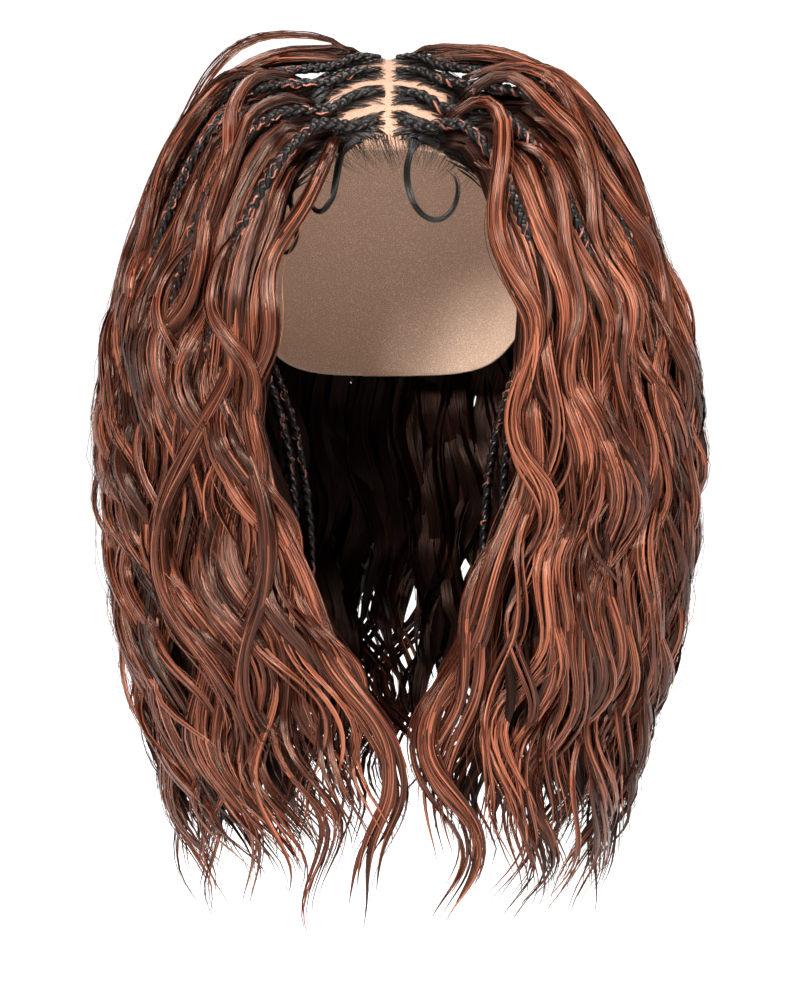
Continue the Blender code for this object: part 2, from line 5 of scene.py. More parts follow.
import bpy
import numpy as np
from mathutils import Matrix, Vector


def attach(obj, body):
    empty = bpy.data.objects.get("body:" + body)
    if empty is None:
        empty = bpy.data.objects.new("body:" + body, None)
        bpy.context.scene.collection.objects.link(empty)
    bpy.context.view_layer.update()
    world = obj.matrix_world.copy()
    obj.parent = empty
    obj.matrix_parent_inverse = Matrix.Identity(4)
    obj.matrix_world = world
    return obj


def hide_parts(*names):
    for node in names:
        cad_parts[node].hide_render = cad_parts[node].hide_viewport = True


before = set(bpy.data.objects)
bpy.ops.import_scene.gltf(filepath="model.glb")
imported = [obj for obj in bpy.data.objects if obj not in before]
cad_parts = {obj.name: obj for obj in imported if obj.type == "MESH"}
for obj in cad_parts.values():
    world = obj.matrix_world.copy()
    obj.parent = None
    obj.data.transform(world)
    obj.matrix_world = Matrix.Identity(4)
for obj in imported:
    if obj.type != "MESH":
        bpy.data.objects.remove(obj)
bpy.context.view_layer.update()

# The studio
# A camera a little above eye level looks slightly down at the wig from in front. A wide white
# floor of paper runs up at its far edge all round, and large soft lamps light the wig.
EYE = (0.0059, -1.83, -0.020)
LOOK_DOWN_DEG = 6.4
LENS_MM = 128.0
SENSOR_MM = 36.0
PAPER_LEVEL = -0.52
PAPER_REACH = 6.0  # to where the flat floor ends
PAPER_BEND = 1.0  # the radius of its turn upwards
PAPER_BEND_STEPS = 12
PAPER_TOP = 1.1
PAPER_SIDES = 64
PAPER_GREY = 0.40
PAPER_GLOW = 0.92
ROOM_GLOW = 0.04
WHITE = (1.0, 1.0, 1.0, 1.0)
LAMPS = (
    # name, place, size, watts
    ("front_lamp", (-0.75, -1.9, 0.95), 0.55, 76.0),
    ("right_lamp", (1.5, -1.2, 0.75), 0.55, 46.0),
    ("top_lamp", (0.05, -0.45, 1.7), 0.5, 36.0),
    ("back_lamp", (-0.8, 1.4, 1.2), 0.8, 20.0),
)
LAMP_AIM = Vector((0.0, 0.0, -0.2))

camera_data = bpy.data.cameras.new("camera")
camera_data.lens = LENS_MM
camera_data.sensor_width = SENSOR_MM
camera = bpy.data.objects.new("camera", camera_data)
bpy.context.scene.collection.objects.link(camera)
camera.location = EYE
camera.rotation_euler = (math.radians(90.0 - LOOK_DOWN_DEG), 0.0, 0.0)
bpy.context.scene.camera = camera
bpy.context.scene.view_settings.view_transform = "Standard"


def add_mesh_object(name, mesh):
    made = bpy.data.objects.new(name, mesh)
    bpy.context.scene.collection.objects.link(made)
    return made


sweep = []
for step in range(PAPER_BEND_STEPS + 1):
    turn = math.pi / 2 * step / PAPER_BEND_STEPS
    sweep.append((
        PAPER_REACH + PAPER_BEND * math.sin(turn),
        PAPER_LEVEL + PAPER_BEND * (1 - math.cos(turn)),
    ))
sweep.append((PAPER_REACH + PAPER_BEND, PAPER_TOP))
points = [(0.0, 0.0, PAPER_LEVEL)]
for reach, level in sweep:
    for side in range(PAPER_SIDES):
        turn = 2 * math.pi * side / PAPER_SIDES
        points.append((reach * math.cos(turn), reach * math.sin(turn), level))
faces = [(0, 1 + i, 1 + (i + 1) % PAPER_SIDES) for i in range(PAPER_SIDES)]
for ring in range(len(sweep) - 1):
    low, high = 1 + ring * PAPER_SIDES, 1 + (ring + 1) * PAPER_SIDES
    for i in range(PAPER_SIDES):
        after = (i + 1) % PAPER_SIDES
        faces.append((low + i, high + i, high + after, low + after))
paper_mesh = bpy.data.meshes.new("paper")
paper_mesh.from_pydata(points, [], faces)
paper_mesh.shade_smooth()
paper = add_mesh_object("paper", paper_mesh)
paper_material = bpy.data.materials.new("white_paper")
paper_material.use_nodes = True
paper_shader = paper_material.node_tree.nodes["Principled BSDF"]
paper_shader.inputs["Base Color"].default_value = (PAPER_GREY, PAPER_GREY, PAPER_GREY, 1.0)
paper_shader.inputs["Roughness"].default_value = 0.9
paper_shader.inputs["Emission Color"].default_value = WHITE
paper_shader.inputs["Emission Strength"].default_value = PAPER_GLOW
paper_mesh.materials.append(paper_material)

world = bpy.data.worlds.new("studio")
bpy.context.scene.world = world
world.use_nodes = True
world.node_tree.nodes["Background"].inputs["Color"].default_value = WHITE
world.node_tree.nodes["Background"].inputs["Strength"].default_value = ROOM_GLOW

for lamp_name, place, size, watts in LAMPS:
    lamp_data = bpy.data.lights.new(lamp_name, "AREA")
    lamp_data.size = size
    lamp_data.energy = watts
    lamp = bpy.data.objects.new(lamp_name, lamp_data)
    bpy.context.scene.collection.objects.link(lamp)
    lamp.location = place
    lamp.rotation_euler = (LAMP_AIM - Vector(place)).to_track_quat("-Z", "Y").to_euler()

# The lace cap
# A dome of fine tan net with a soft front edge, a tab at each temple and a curve round each
# ear. Every hair is knotted into the net, so it is freckled with knots outside and plain inside.
# The inside is painted a lighter tan: painted light on the shaded hollow of the cap.
HEAD_HALF = np.array((0.078, 0.098, 0.112))
LACE_WALL = 0.0012
NET_HOLES_PER_M = 900.0
KNOTS_PER_M = 620.0
CAP_RIM = (
    # front and drop, as shares of the head's half length and of its rise, the last two below it
    (-1.30, 0.36), (-0.81, 0.37), (-0.66, 0.53), (-0.54, 0.78), (-0.48, 0.94), (-0.34, 0.95),
    (-0.24, 0.80), (-0.02, 0.76), (0.18, 0.88), (0.44, 1.28), (0.70, 1.46), (1.30, 1.48),
    (1.30, 3.0), (-1.30, 3.0),
)

bpy.ops.object.select_all(action="DESELECT")
bpy.ops.mesh.primitive_uv_sphere_add(
    segments=96, ring_count=60, radius=1.0, location=(0.0, 0.0, -HEAD_HALF[2]),
)
net = bpy.context.object
net.name = net.data.name = "lace_net"
net.scale = tuple(HEAD_HALF + LACE_WALL / 2)
bpy.ops.object.transform_apply(location=True, rotation=False, scale=True)

rim_curve = bpy.data.curves.new("rim_line", "CURVE")
rim_curve.dimensions = "2D"
rim_curve.fill_mode = "BOTH"
rim_curve.extrude = 2 * HEAD_HALF[0]
rim_line = rim_curve.splines.new("BEZIER")
rim_line.use_cyclic_u = True
rim_line.bezier_points.add(len(CAP_RIM) - 1)
for corner, (front, drop) in zip(rim_line.bezier_points, CAP_RIM):
    corner.co = (front * HEAD_HALF[1], -drop * HEAD_HALF[2], 0.0)
    soft = abs(front) < 1
    corner.handle_left_type = corner.handle_right_type = "AUTO" if soft else "VECTOR"
rim_cutter = bpy.data.objects.new("rim_line", rim_curve)
bpy.context.scene.collection.objects.link(rim_cutter)
rim_cutter.rotation_euler = (math.pi / 2, 0.0, math.pi / 2)
rim_cutter.select_set(True)
net.select_set(False)
bpy.context.view_layer.objects.active = rim_cutter
bpy.ops.object.convert(target="MESH")
net.select_set(True)
bpy.context.view_layer.objects.active = net
trim = net.modifiers.new("trim", "BOOLEAN")
trim.object = rim_cutter
bpy.ops.object.modifier_apply(modifier=trim.name)
bpy.data.objects.remove(rim_cutter)
middle = np.array((0.0, 0.0, -HEAD_HALF[2]))
net.data.vertices.foreach_set("select", [False] * len(net.data.vertices))
net.data.edges.foreach_set("select", [False] * len(net.data.edges))
for face in net.data.polygons:
    # The cutter leaves flat faces across the dome, which lie nearer its middle than the lace does.
    reach = (np.array(face.center) - middle) / (HEAD_HALF + LACE_WALL / 2)
    face.select = bool(np.linalg.norm(reach) < 0.99)
bpy.ops.object.mode_set(mode="EDIT")
bpy.ops.mesh.select_mode(type="FACE")
bpy.ops.mesh.delete(type="FACE")
bpy.ops.object.mode_set(mode="OBJECT")
wall = net.modifiers.new("wall", "SOLIDIFY")
wall.thickness = LACE_WALL
wall.offset = 0.0
bpy.ops.object.modifier_apply(modifier=wall.name)
bpy.ops.object.shade_smooth()


def set_inputs(node, inputs):
    """Give each input its value, or link it to the socket that feeds it."""
    for name, value in inputs.items():
        if isinstance(value, bpy.types.NodeSocket):
            node.id_data.links.new(value, node.inputs[name])
        else:
            node.inputs[name].default_value = value


def add_node(nodes, kind, inputs, **settings):
    """A node of this kind with these settings and inputs."""
    node = nodes.new(kind)
    for name, value in settings.items():
        setattr(node, name, value)
    set_inputs(node, inputs)
    return node


def new_material(name, roughness):
    """A Principled material, and its nodes and shader to build on."""
    material = bpy.data.materials.new(name)
    material.use_nodes = True
    nodes = material.node_tree.nodes
    set_inputs(nodes["Principled BSDF"], {"Roughness": roughness})
    return material, nodes, nodes["Principled BSDF"]


def colour_ramp(nodes, place, stops):
    """The colour that these stops give at the place that the socket says."""
    ramp = add_node(nodes, "ShaderNodeValToRGB", {"Fac": place})
    while len(ramp.color_ramp.elements) < len(stops):
        ramp.color_ramp.elements.new(0.5)
    for element, (position, colour) in zip(ramp.color_ramp.elements, stops):
        element.position = position
        element.color = (*colour, 1.0)
    return ramp.outputs["Color"]


lace_material, nodes, shader = new_material("tan_lace", 0.75)
place = nodes.new("ShaderNodeTexCoord")
threads = add_node(
    nodes, "ShaderNodeTexVoronoi",
    {"Vector": place.outputs["Object"], "Scale": NET_HOLES_PER_M}, feature="DISTANCE_TO_EDGE")
off_thread = threads.outputs["Distance"]
outside = colour_ramp(nodes, off_thread, ((0.0, (0.47, 0.27, 0.18)), (0.14, (0.33, 0.18, 0.115))))
# The inside's lighter tan is painted light for the shaded hollow of the cap.
inside = colour_ramp(nodes, off_thread, ((0.0, (0.78, 0.55, 0.41)), (0.16, (0.48, 0.315, 0.225))))
knots = add_node(
    nodes, "ShaderNodeTexVoronoi", {"Vector": place.outputs["Object"], "Scale": KNOTS_PER_M})
freckles = colour_ramp(
    nodes, knots.outputs["Distance"], ((0.0, (0.10, 0.06, 0.05)), (0.36, (1.0, 1.0, 1.0))))
knotted = add_node(
    nodes, "ShaderNodeMix", {"Factor": 0.75, "A": outside, "B": freckles},
    data_type="RGBA", blend_type="MULTIPLY")
from_middle = add_node(
    nodes, "ShaderNodeVectorMath",
    {0: place.outputs["Object"], 1: (0.0, 0.0, HEAD_HALF[2])}, operation="ADD")
facing = add_node(
    nodes, "ShaderNodeVectorMath",
    {0: from_middle.outputs["Vector"], 1: place.outputs["Normal"]}, operation="DOT_PRODUCT")
is_outside = add_node(
    nodes, "ShaderNodeMath", {0: facing.outputs["Value"], 1: 0.0}, operation="GREATER_THAN")
lace_colour = add_node(
    nodes, "ShaderNodeMix",
    {"Factor": is_outside.outputs["Value"], "A": inside, "B": knotted.outputs["Result"]},
    data_type="RGBA")
net_bump = add_node(
    nodes, "ShaderNodeBump", {"Strength": 0.35, "Distance": 0.0002, "Height": off_thread})
set_inputs(shader, {
    "Base Color": lace_colour.outputs["Result"], "Normal": net_bump.outputs["Normal"]})
net.data.materials.clear()
net.data.materials.append(lace_material)
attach(net, "root")
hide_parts("lace_cap")

# The hair at the cap
# Near black hair, knotted in rows either side of the parting and combed flat and outwards. In
# front of and behind each row a line of lace shows, and the hair between them runs to a plait.
ROW_LINES = (-0.785, -0.628, -0.462, -0.252, -0.020, 0.225)  # shares of the half length
ROW_HAIRS = 95
CROWN_HAIRS = 150
SIDE_HAIRS = 120
PLAIT_ROWS = (-0.705, -0.56, -0.365, -0.14, 0.11)
ROW_MARGIN = 0.012  # of bare lace beside each line
STRIP_SECTION = ((-1.0, -0.04), (1.0, -0.04), (0.0, 0.11))
HAIR_SECTION = ((-0.9, -0.5), (0.9, -0.5), (0.0, 1.0))
FLAT_SECTION = 0.2  # a section that rises less than this is a strip with two sharp edges
STREAK_SHIFT = (0.013, 0.17)  # from one strand's streaks to the next one's
STREAK_SCALE = (1150.0, 9.0, 0.0)  # across and along a strand
MAP_STRAND = (0.92, 0.96)  # share of a strand's cell on the bake map that its sides fill


def unit(vectors):
    return vectors / np.maximum(np.linalg.norm(vectors, axis=-1, keepdims=True), 1e-9)


def cap_points(x, y, lift):
    """Points over the cap's outer face, and the way out of it there."""
    half = HEAD_HALF + LACE_WALL
    z = half[2] * np.sqrt(np.clip(1 - (x / half[0]) ** 2 - (y / half[1]) ** 2, 0.0, 1.0))
    out = unit(np.stack((x / half[0] ** 2, y / half[1] ** 2, z / half[2] ** 2), axis=-1))
    points = np.stack((x, y, z - HEAD_HALF[2]), axis=-1)
    return points + out * np.expand_dims(lift, -1), out


def head_normal(points):
    return unit((points - middle) / (HEAD_HALF + LACE_WALL) ** 2)


def length_so_far(points):
    """How far along its line each point lies."""
    steps = np.linalg.norm(np.diff(points, axis=-2), axis=-1)
    return np.concatenate((np.zeros_like(steps[..., :1]), np.cumsum(steps, axis=-1)), axis=-1)


def bake_cells(number, samples, sides, columns, rows):
    """Each strand's faces on the bake map: its sides unrolled in a cell, and two discs."""
    wide, high = MAP_STRAND
    side = np.arange(sides)[None, None, :]
    left = (number % columns + side / sides * wide) / columns
    right = (number % columns + (side + 1) / sides * wide) / columns
    bottom = number // columns + 0.01 + np.arange(samples - 1)[None, :, None] / samples * high
    top = (bottom + high / samples) / rows
    bottom = bottom / rows
    left, right, bottom, top = np.broadcast_arrays(left, right, bottom, top)
    corners = ((left, bottom), (right, bottom), (right, top), (left, top))
    cells = [np.stack([np.stack(corner, -1) for corner in corners], axis=-2).reshape(-1, 2)]
    turn = 2 * np.pi * np.arange(sides) / sides
    disc = np.stack((np.cos(turn) / columns, np.sin(turn) / rows / 20), axis=-1) * 0.3
    for end in (0, -1):
        place = np.stack((left[:, end, 0], bottom[:, end, 0]), axis=-1)
        place = place + (0.45 / columns, 0.02 / rows)
        cells.append((place[:, None] + disc).reshape(-1, 2))
    return cells


def strand_piece(name, bunches, material, slot, *replaced):
    """One mesh of closed strands. Each bunch has its strands' middle lines, the way out at
    each point, their widths and tones, and the outline of a strand cut across."""
    total = sum(len(bunch[2]) for bunch in bunches)
    rows = max(1, round(math.sqrt(total / 80)))
    columns = math.ceil(total / rows)
    points, faces, cells, values, edge_lines = [], [], [], [], []
    made = placed = 0
    for paths, outs, widths, tones, outline in bunches:
        outline = np.array(outline)
        count, samples = widths.shape
        sides = len(outline)
        ahead = unit(np.gradient(paths, axis=1))
        across = unit(np.cross(outs, ahead))
        out = np.cross(ahead, across)
        half = widths[..., None, None] / 2
        ring = paths[:, :, None] + half * (
            across[:, :, None] * outline[:, :1] + out[:, :, None] * outline[:, 1:]
        )
        points.append(ring.reshape(-1, 3))
        side = np.arange(sides)
        is_edge = (side < 2) & (outline[:, 1].max() < FLAT_SECTION)
        edge_lines.append(np.tile(np.where(is_edge, side, -1), count * samples))
        number = (made + np.arange(count))[:, None, None]
        values.append(np.stack(np.broadcast_arrays(
            half[..., 0] * outline[:, 0] + number * STREAK_SHIFT[0],
            length_so_far(paths)[:, :, None] + number * STREAK_SHIFT[1],
            np.broadcast_to(tones, widths.shape)[:, :, None],
        ), axis=-1).reshape(-1, 3))
        start = placed + np.arange(count)[:, None, None] * samples * sides
        row = start + np.arange(samples - 1)[None, :, None] * sides
        after = (side + 1) % sides
        faces += np.stack(
            (row + side, row + after, row + sides + after, row + sides + side), axis=-1,
        ).reshape(-1, 4).tolist()
        first = start[:, 0] + side[::-1]
        last = start[:, 0] + (samples - 1) * sides + side
        faces += first.tolist() + last.tolist()
        cells += bake_cells(number, samples, sides, columns, rows)
        made += count
        placed += count * samples * sides
    mesh = bpy.data.meshes.new(name)
    mesh.from_pydata(np.concatenate(points), [], faces)
    mesh.shade_smooth()
    ends = np.empty(2 * len(mesh.edges), dtype=np.int32)
    mesh.edges.foreach_get("vertices", ends)
    from_line, to_line = np.concatenate(edge_lines)[ends.reshape(-1, 2)].T
    creases = mesh.attributes.new("sharp_edge", "BOOLEAN", "EDGE")
    creases.data.foreach_set("value", (from_line == to_line) & (from_line >= 0))
    layer = mesh.attributes.new("hair", "FLOAT_VECTOR", "POINT")
    layer.data.foreach_set("vector", np.concatenate(values).reshape(-1).astype(np.float32))
    bake_map = mesh.uv_layers.new(name="OFBake")
    bake_map.data.foreach_set("uv", np.concatenate(cells).reshape(-1).astype(np.float32))
    mesh.materials.append(material)
    piece = add_mesh_object(name, mesh)
    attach(piece, "root")
    for node in replaced:
        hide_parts(node)


def hair_material(name, roughness, stops, glint, gloss, streak):
    """Hair: coloured by its tone, with fine streaks along it that lighten and roughen it."""
    material, nodes, shader = new_material(name, roughness)
    along = add_node(nodes, "ShaderNodeTangent", {}, direction_type="UV_MAP", uv_map="OFBake")
    hair = add_node(nodes, "ShaderNodeAttribute", {}, attribute_name="hair")
    parts = add_node(nodes, "ShaderNodeSeparateXYZ", {"Vector": hair.outputs["Vector"]})
    stretched = add_node(
        nodes, "ShaderNodeMapping", {"Vector": hair.outputs["Vector"], "Scale": STREAK_SCALE})
    streaks = add_node(nodes, "ShaderNodeTexNoise", {
        "Vector": stretched.outputs["Vector"], "Scale": 1.0, "Detail": 3.0, "Roughness": 0.6})
    shift = add_node(nodes, "ShaderNodeMapRange", {
        "Value": streaks.outputs["Fac"], "From Min": 0.36, "From Max": 0.64,
        "To Min": -streak, "To Max": streak})
    tone = add_node(
        nodes, "ShaderNodeMath", {0: parts.outputs["Z"], 1: shift.outputs["Result"]},
        operation="ADD", use_clamp=True)
    bump = add_node(nodes, "ShaderNodeBump", {
        "Strength": 1.0, "Distance": 0.0008, "Height": streaks.outputs["Fac"]})
    set_inputs(shader, {
        "Base Color": colour_ramp(nodes, tone.outputs["Value"], stops),
        "Normal": bump.outputs["Normal"], "Tangent": along.outputs["Tangent"],
        "Specular IOR Level": gloss, "Specular Tint": (*glint, 1.0), "Anisotropic": 0.55})
    return material


black_material = hair_material("near_black_hair", 0.30, (
    (0.0, (0.003, 0.0026, 0.0026)),
    (0.40, (0.010, 0.007, 0.006)),
    (0.62, (0.060, 0.020, 0.013)),
    (0.80, (0.320, 0.100, 0.062)),
    (1.0, (0.560, 0.240, 0.170)),
), (1.0, 0.93, 0.87), 0.26, 0.12)


def row_hairs(dice, sign):
    """Short flat hair from both edges of each row in to its plait."""
    bunches = []
    share = np.linspace(0, 1, 9)[None, :]
    for plait_front, before, behind in zip(PLAIT_ROWS, ROW_LINES, ROW_LINES[1:]):
        x_from = 0.014 + 0.43 * dice.uniform(0, 1, (ROW_HAIRS, 1)) ** 1.5
        y_from = dice.uniform(before + ROW_MARGIN, behind - ROW_MARGIN, x_from.shape)
        x_to = x_from + dice.uniform(0.09, 0.20, x_from.shape)
        y_to = plait_front + (y_from - plait_front) * 0.30 + 0.02 * x_from
        bend = share ** dice.uniform(0.8, 1.5, x_from.shape)
        x = sign * (x_from + (x_to - x_from) * share) * HEAD_HALF[0]
        y = (y_from + (y_to - y_from) * bend) * HEAD_HALF[1]
        lift = 0.0003 + 0.0022 * np.sin(np.pi * share * 0.62) * dice.uniform(0.5, 1.2, x_from.shape)
        paths, outs = cap_points(x, y, lift)
        widths = dice.uniform(0.0006, 0.0014, x_from.shape) * np.interp(
            share, (0, 0.25, 1.0), (0.35, 1.0, 0.8))
        tones = dice.uniform(0.02, 0.34, x_from.shape)
        bunches.append((paths, outs, widths, tones, STRIP_SECTION))
    return bunches


def crown_hairs(dice, sign):
    """Broader flat hair over the crown behind the rows, combed back."""
    share = np.linspace(0, 1, 9)[None, :]
    x_from = dice.uniform(0.0, 0.40, (CROWN_HAIRS, 1))
    y_from = dice.uniform(0.235, 0.46, x_from.shape)
    x = sign * (x_from + 0.20 * share * (0.4 + x_from)) * HEAD_HALF[0]
    y = (y_from + dice.uniform(0.26, 0.42, x_from.shape) * share) * HEAD_HALF[1]
    widths = dice.uniform(0.0018, 0.0042, x_from.shape) * np.interp(
        share, (0, 0.2, 1.0), (0.3, 1.0, 0.8))
    paths, outs = cap_points(x, y, 0.0004 + 0.7 * widths * np.sin(np.pi * (0.1 + 0.6 * share)))
    return [(paths, outs, widths, dice.uniform(0.10, 0.80, x_from.shape), STRIP_SECTION)]


def side_hairs(dice, sign):
    """Hair combed from beside the parting down the cap to its rim, under all the rest."""
    rim = np.array(CAP_RIM[:-2])
    share = np.linspace(0, 1, 14)
    front = np.linspace(-0.74, 0.90, SIDE_HAIRS)[:, None] + dice.normal(0, 0.006, (SIDE_HAIRS, 1))
    round_it = np.sqrt(1 - front ** 2)
    rim_drop = np.interp(front, rim[:, 0], rim[:, 1])
    last = np.arccos(np.clip((1 - rim_drop + 0.05) / round_it, -0.3, 0.98))
    first = np.minimum(np.arcsin(np.clip(0.36 / round_it, 0, 1)), last * 0.6)
    turn = first + (last - first) * share[None, :]
    out = np.stack(np.broadcast_arrays(
        sign * round_it * np.sin(turn), front, round_it * np.cos(turn)), axis=-1)
    lift = dice.uniform(0.0012, 0.0030, front.shape)[..., None]
    paths = middle + out * (HEAD_HALF + LACE_WALL + lift)
    widths = np.full(turn.shape, 0.0036) * np.interp(share, (0, 0.15, 1), (0.3, 1, 0.9))
    tones = dice.uniform(0.0, 0.35, front.shape)
    return [(paths, head_normal(paths), widths, tones, STRIP_SECTION)]


SIGNS = {"left": -1, "right": 1}
for (side, sign), seed in zip(SIGNS.items(), (5, 6)):
    dice = np.random.default_rng(seed)
    bunches = row_hairs(dice, sign) + crown_hairs(dice, sign) + side_hairs(dice, sign)
    strand_piece(f"combed_hair_{side}", bunches, black_material, "braid_hair")

# The plaits
# Three strands of near black hair with some copper in them, plaited tightly. Ten root beside
# the parting and run down over the waves, and four hang from the cap's sides beside the neck.
HAIR_DROP = 0.43
HAIR_LEFT = 0.145
HAIR_RIGHT = 0.156
HAIR_FRONT = 0.108
HAIR_BACK = 0.132
ROOT_REACH = 0.028  # from the parting to where the hair leaves the cap
PART_FRONT = 0.075
PART_BACK = 0.048
ROOT_LIFT = 0.006
DOME_SPREAD = 0.72  # powers that shape the dome over the crown
DOME_FALL = 2.3
DOME_END = 0.226  # share of the hair's drop at which it starts to hang
HANG = np.array((
    # fall, then side, front and back, as shares of the hair's reach that way
    (DOME_END, 0.87, 0.96, 0.95),
    (0.30, 0.95, 1.00, 1.00),
    (0.40, 1.00, 1.00, 1.00),
    (0.52, 1.00, 1.00, 0.98),
    (0.65, 0.95, 0.99, 0.94),
    (0.76, 0.88, 0.98, 0.89),
    (0.86, 0.80, 0.96, 0.84),
    (1.00, 0.67, 0.92, 0.76),
))
PLAIT_WIDTH = 0.0072
PLAIT_SEAT = 0.0044  # from the cap's face to a plait's middle
PLAIT_ROOT_SEAT = 0.0022
PLAIT_SINK = 0.001
PLAIT_TURN = 0.0165  # the length of one full turn of its strands
TURN_SAMPLES = 12
PLAIT_THREADS = 5  # of copper
NECK_THREADS = 3
LOOSE_HAIRS = 9
STRAND_SECTION = [
    (math.cos(math.pi * i / 3.5), 0.82 * math.sin(math.pi * i / 3.5)) for i in range(7)
]
PLAIT_ROOTS = (
    # side and front on the cap, as shares of the head's half width and half length
    ((0.06, -0.70), (0.20, -0.715)),
    ((0.06, -0.55), (0.20, -0.56), (0.35, -0.57)),
    ((0.05, -0.36), (0.19, -0.365), (0.34, -0.37)),
    ((0.05, -0.14), (0.19, -0.14), (0.34, -0.14)),
    ((0.05, 0.10), (0.19, 0.11), (0.34, 0.12)),
)
PLAIT_FALLS = {
    # degrees from the front, and along the hair's form
    "left": (
        ((28, 0.30), (30, 0.46), (33, 0.64), (36, 0.84), (39, 1.02), (40, 1.14)),
        ((44, 0.36), (48, 0.56), (52, 0.76), (54, 0.96), (54, 1.10)),
        ((62, 0.28), (65, 0.48), (68, 0.68), (70, 0.88), (70, 1.06)),
        ((80, 0.26), (82, 0.45), (85, 0.65), (88, 0.85)),
        ((100, 0.26), (103, 0.45), (105, 0.65), (106, 0.85)),
    ),
    "right": (
        ((28, 0.30), (29.5, 0.46), (30.5, 0.63), (31.5, 0.80), (32, 0.98)),
        ((43, 0.36), (44, 0.56), (46, 0.76), (48, 0.96), (49, 1.08)),
        ((58, 0.28), (60, 0.48), (63, 0.68), (66, 0.88), (67, 1.02)),
        ((78, 0.26), (80, 0.45), (83, 0.65), (86, 0.85)),
        ((100, 0.26), (103, 0.45), (105, 0.65), (106, 0.85)),
    ),
}
NECK_PLAITS = {
    # side, how far in, how long, how far back it is rooted
    "neck_braid_left_1": (-1, 1.07, 1.00, 0.0),
    "neck_braid_left_2": (-1, 0.86, 1.05, 0.20),
    "neck_braid_right_1": (1, 1.10, 1.05, 0.0),
    "neck_braid_right_2": (1, 1.36, 0.98, 0.20),
}
NECK_ROUTE = (
    # side, front, drop
    (0.0, -0.02, 0.150), (0.0, -0.04, 0.195), (1.06, -0.10, 0.260), (0.84, -0.20, 0.340),
    (0.66, -0.28, 0.430), (0.58, -0.32, 0.520), (0.57, -0.33, 0.600),
)


def outline_points(azimuth, fall):
    """Points on the outline of the hanging hair, at this share of its drop."""
    turn = np.radians(azimuth)
    side, front, back = (np.interp(fall, HANG[:, 0], HANG[:, column]) for column in (1, 2, 3))
    across = np.where(np.sin(turn) < 0, HAIR_LEFT, HAIR_RIGHT) * side
    deep = np.where(np.cos(turn) > 0, HAIR_FRONT * front, HAIR_BACK * back)
    return np.stack((across * np.sin(turn), -deep * np.cos(turn), -fall * HAIR_DROP), axis=-1)


def hair_surface(azimuth, along):
    """The hair's outer form: along is 0 at the root, 1 where the dome ends, 2 at the tips, and
    -1 at the parting."""
    azimuth, along = np.broadcast_arrays(azimuth, along)
    turn = np.radians(azimuth)
    deep = np.where(np.cos(turn) > 0, PART_FRONT, PART_BACK)
    lift = np.full_like(along, ROOT_LIFT)
    inward = 1 + np.minimum(along, 0.0)
    root, _ = cap_points(ROOT_REACH * inward * np.sin(turn), -deep * np.cos(turn), lift)
    rim = outline_points(azimuth, np.full_like(along, DOME_END))
    near = np.clip(along, 0.0, 1.0)
    dome = root + (rim - root) * np.expand_dims(near ** DOME_SPREAD, -1)
    dome[..., 2] = root[..., 2] + (rim[..., 2] - root[..., 2]) * near ** DOME_FALL
    hang = outline_points(azimuth, DOME_END + (along - 1) * (1 - DOME_END))
    return np.where(np.expand_dims(along > 1, -1), hang, dome)


def hair_normal(azimuth, along):
    across = hair_surface(azimuth + 1, along) - hair_surface(azimuth - 1, along)
    down = hair_surface(azimuth, along + 0.02) - hair_surface(azimuth, along - 0.02)
    return unit(np.cross(down, across))


def smooth_line(points, count):
    """This many points, evenly spaced, on a smooth line through the given ones."""
    points = np.array(points)
    ends = np.concatenate(([2 * points[0] - points[1]], points, [2 * points[-1] - points[-2]]))
    t = np.linspace(0, 1, 24, endpoint=False)[:, None]
    dense = [0.5 * (2 * b + (c - a) * t + (2 * a - 5 * b + 4 * c - d) * t ** 2
                    + (3 * b - a - 3 * c + d) * t ** 3)
             for a, b, c, d in zip(ends, ends[1:], ends[2:], ends[3:])]
    dense = np.concatenate(dense + [points[-1:]])
    gone = length_so_far(dense)
    wanted = np.linspace(0, gone[-1], count)
    line = np.stack([np.interp(wanted, gone, dense[:, axis]) for axis in range(3)], axis=-1)
    return line, gone[-1]


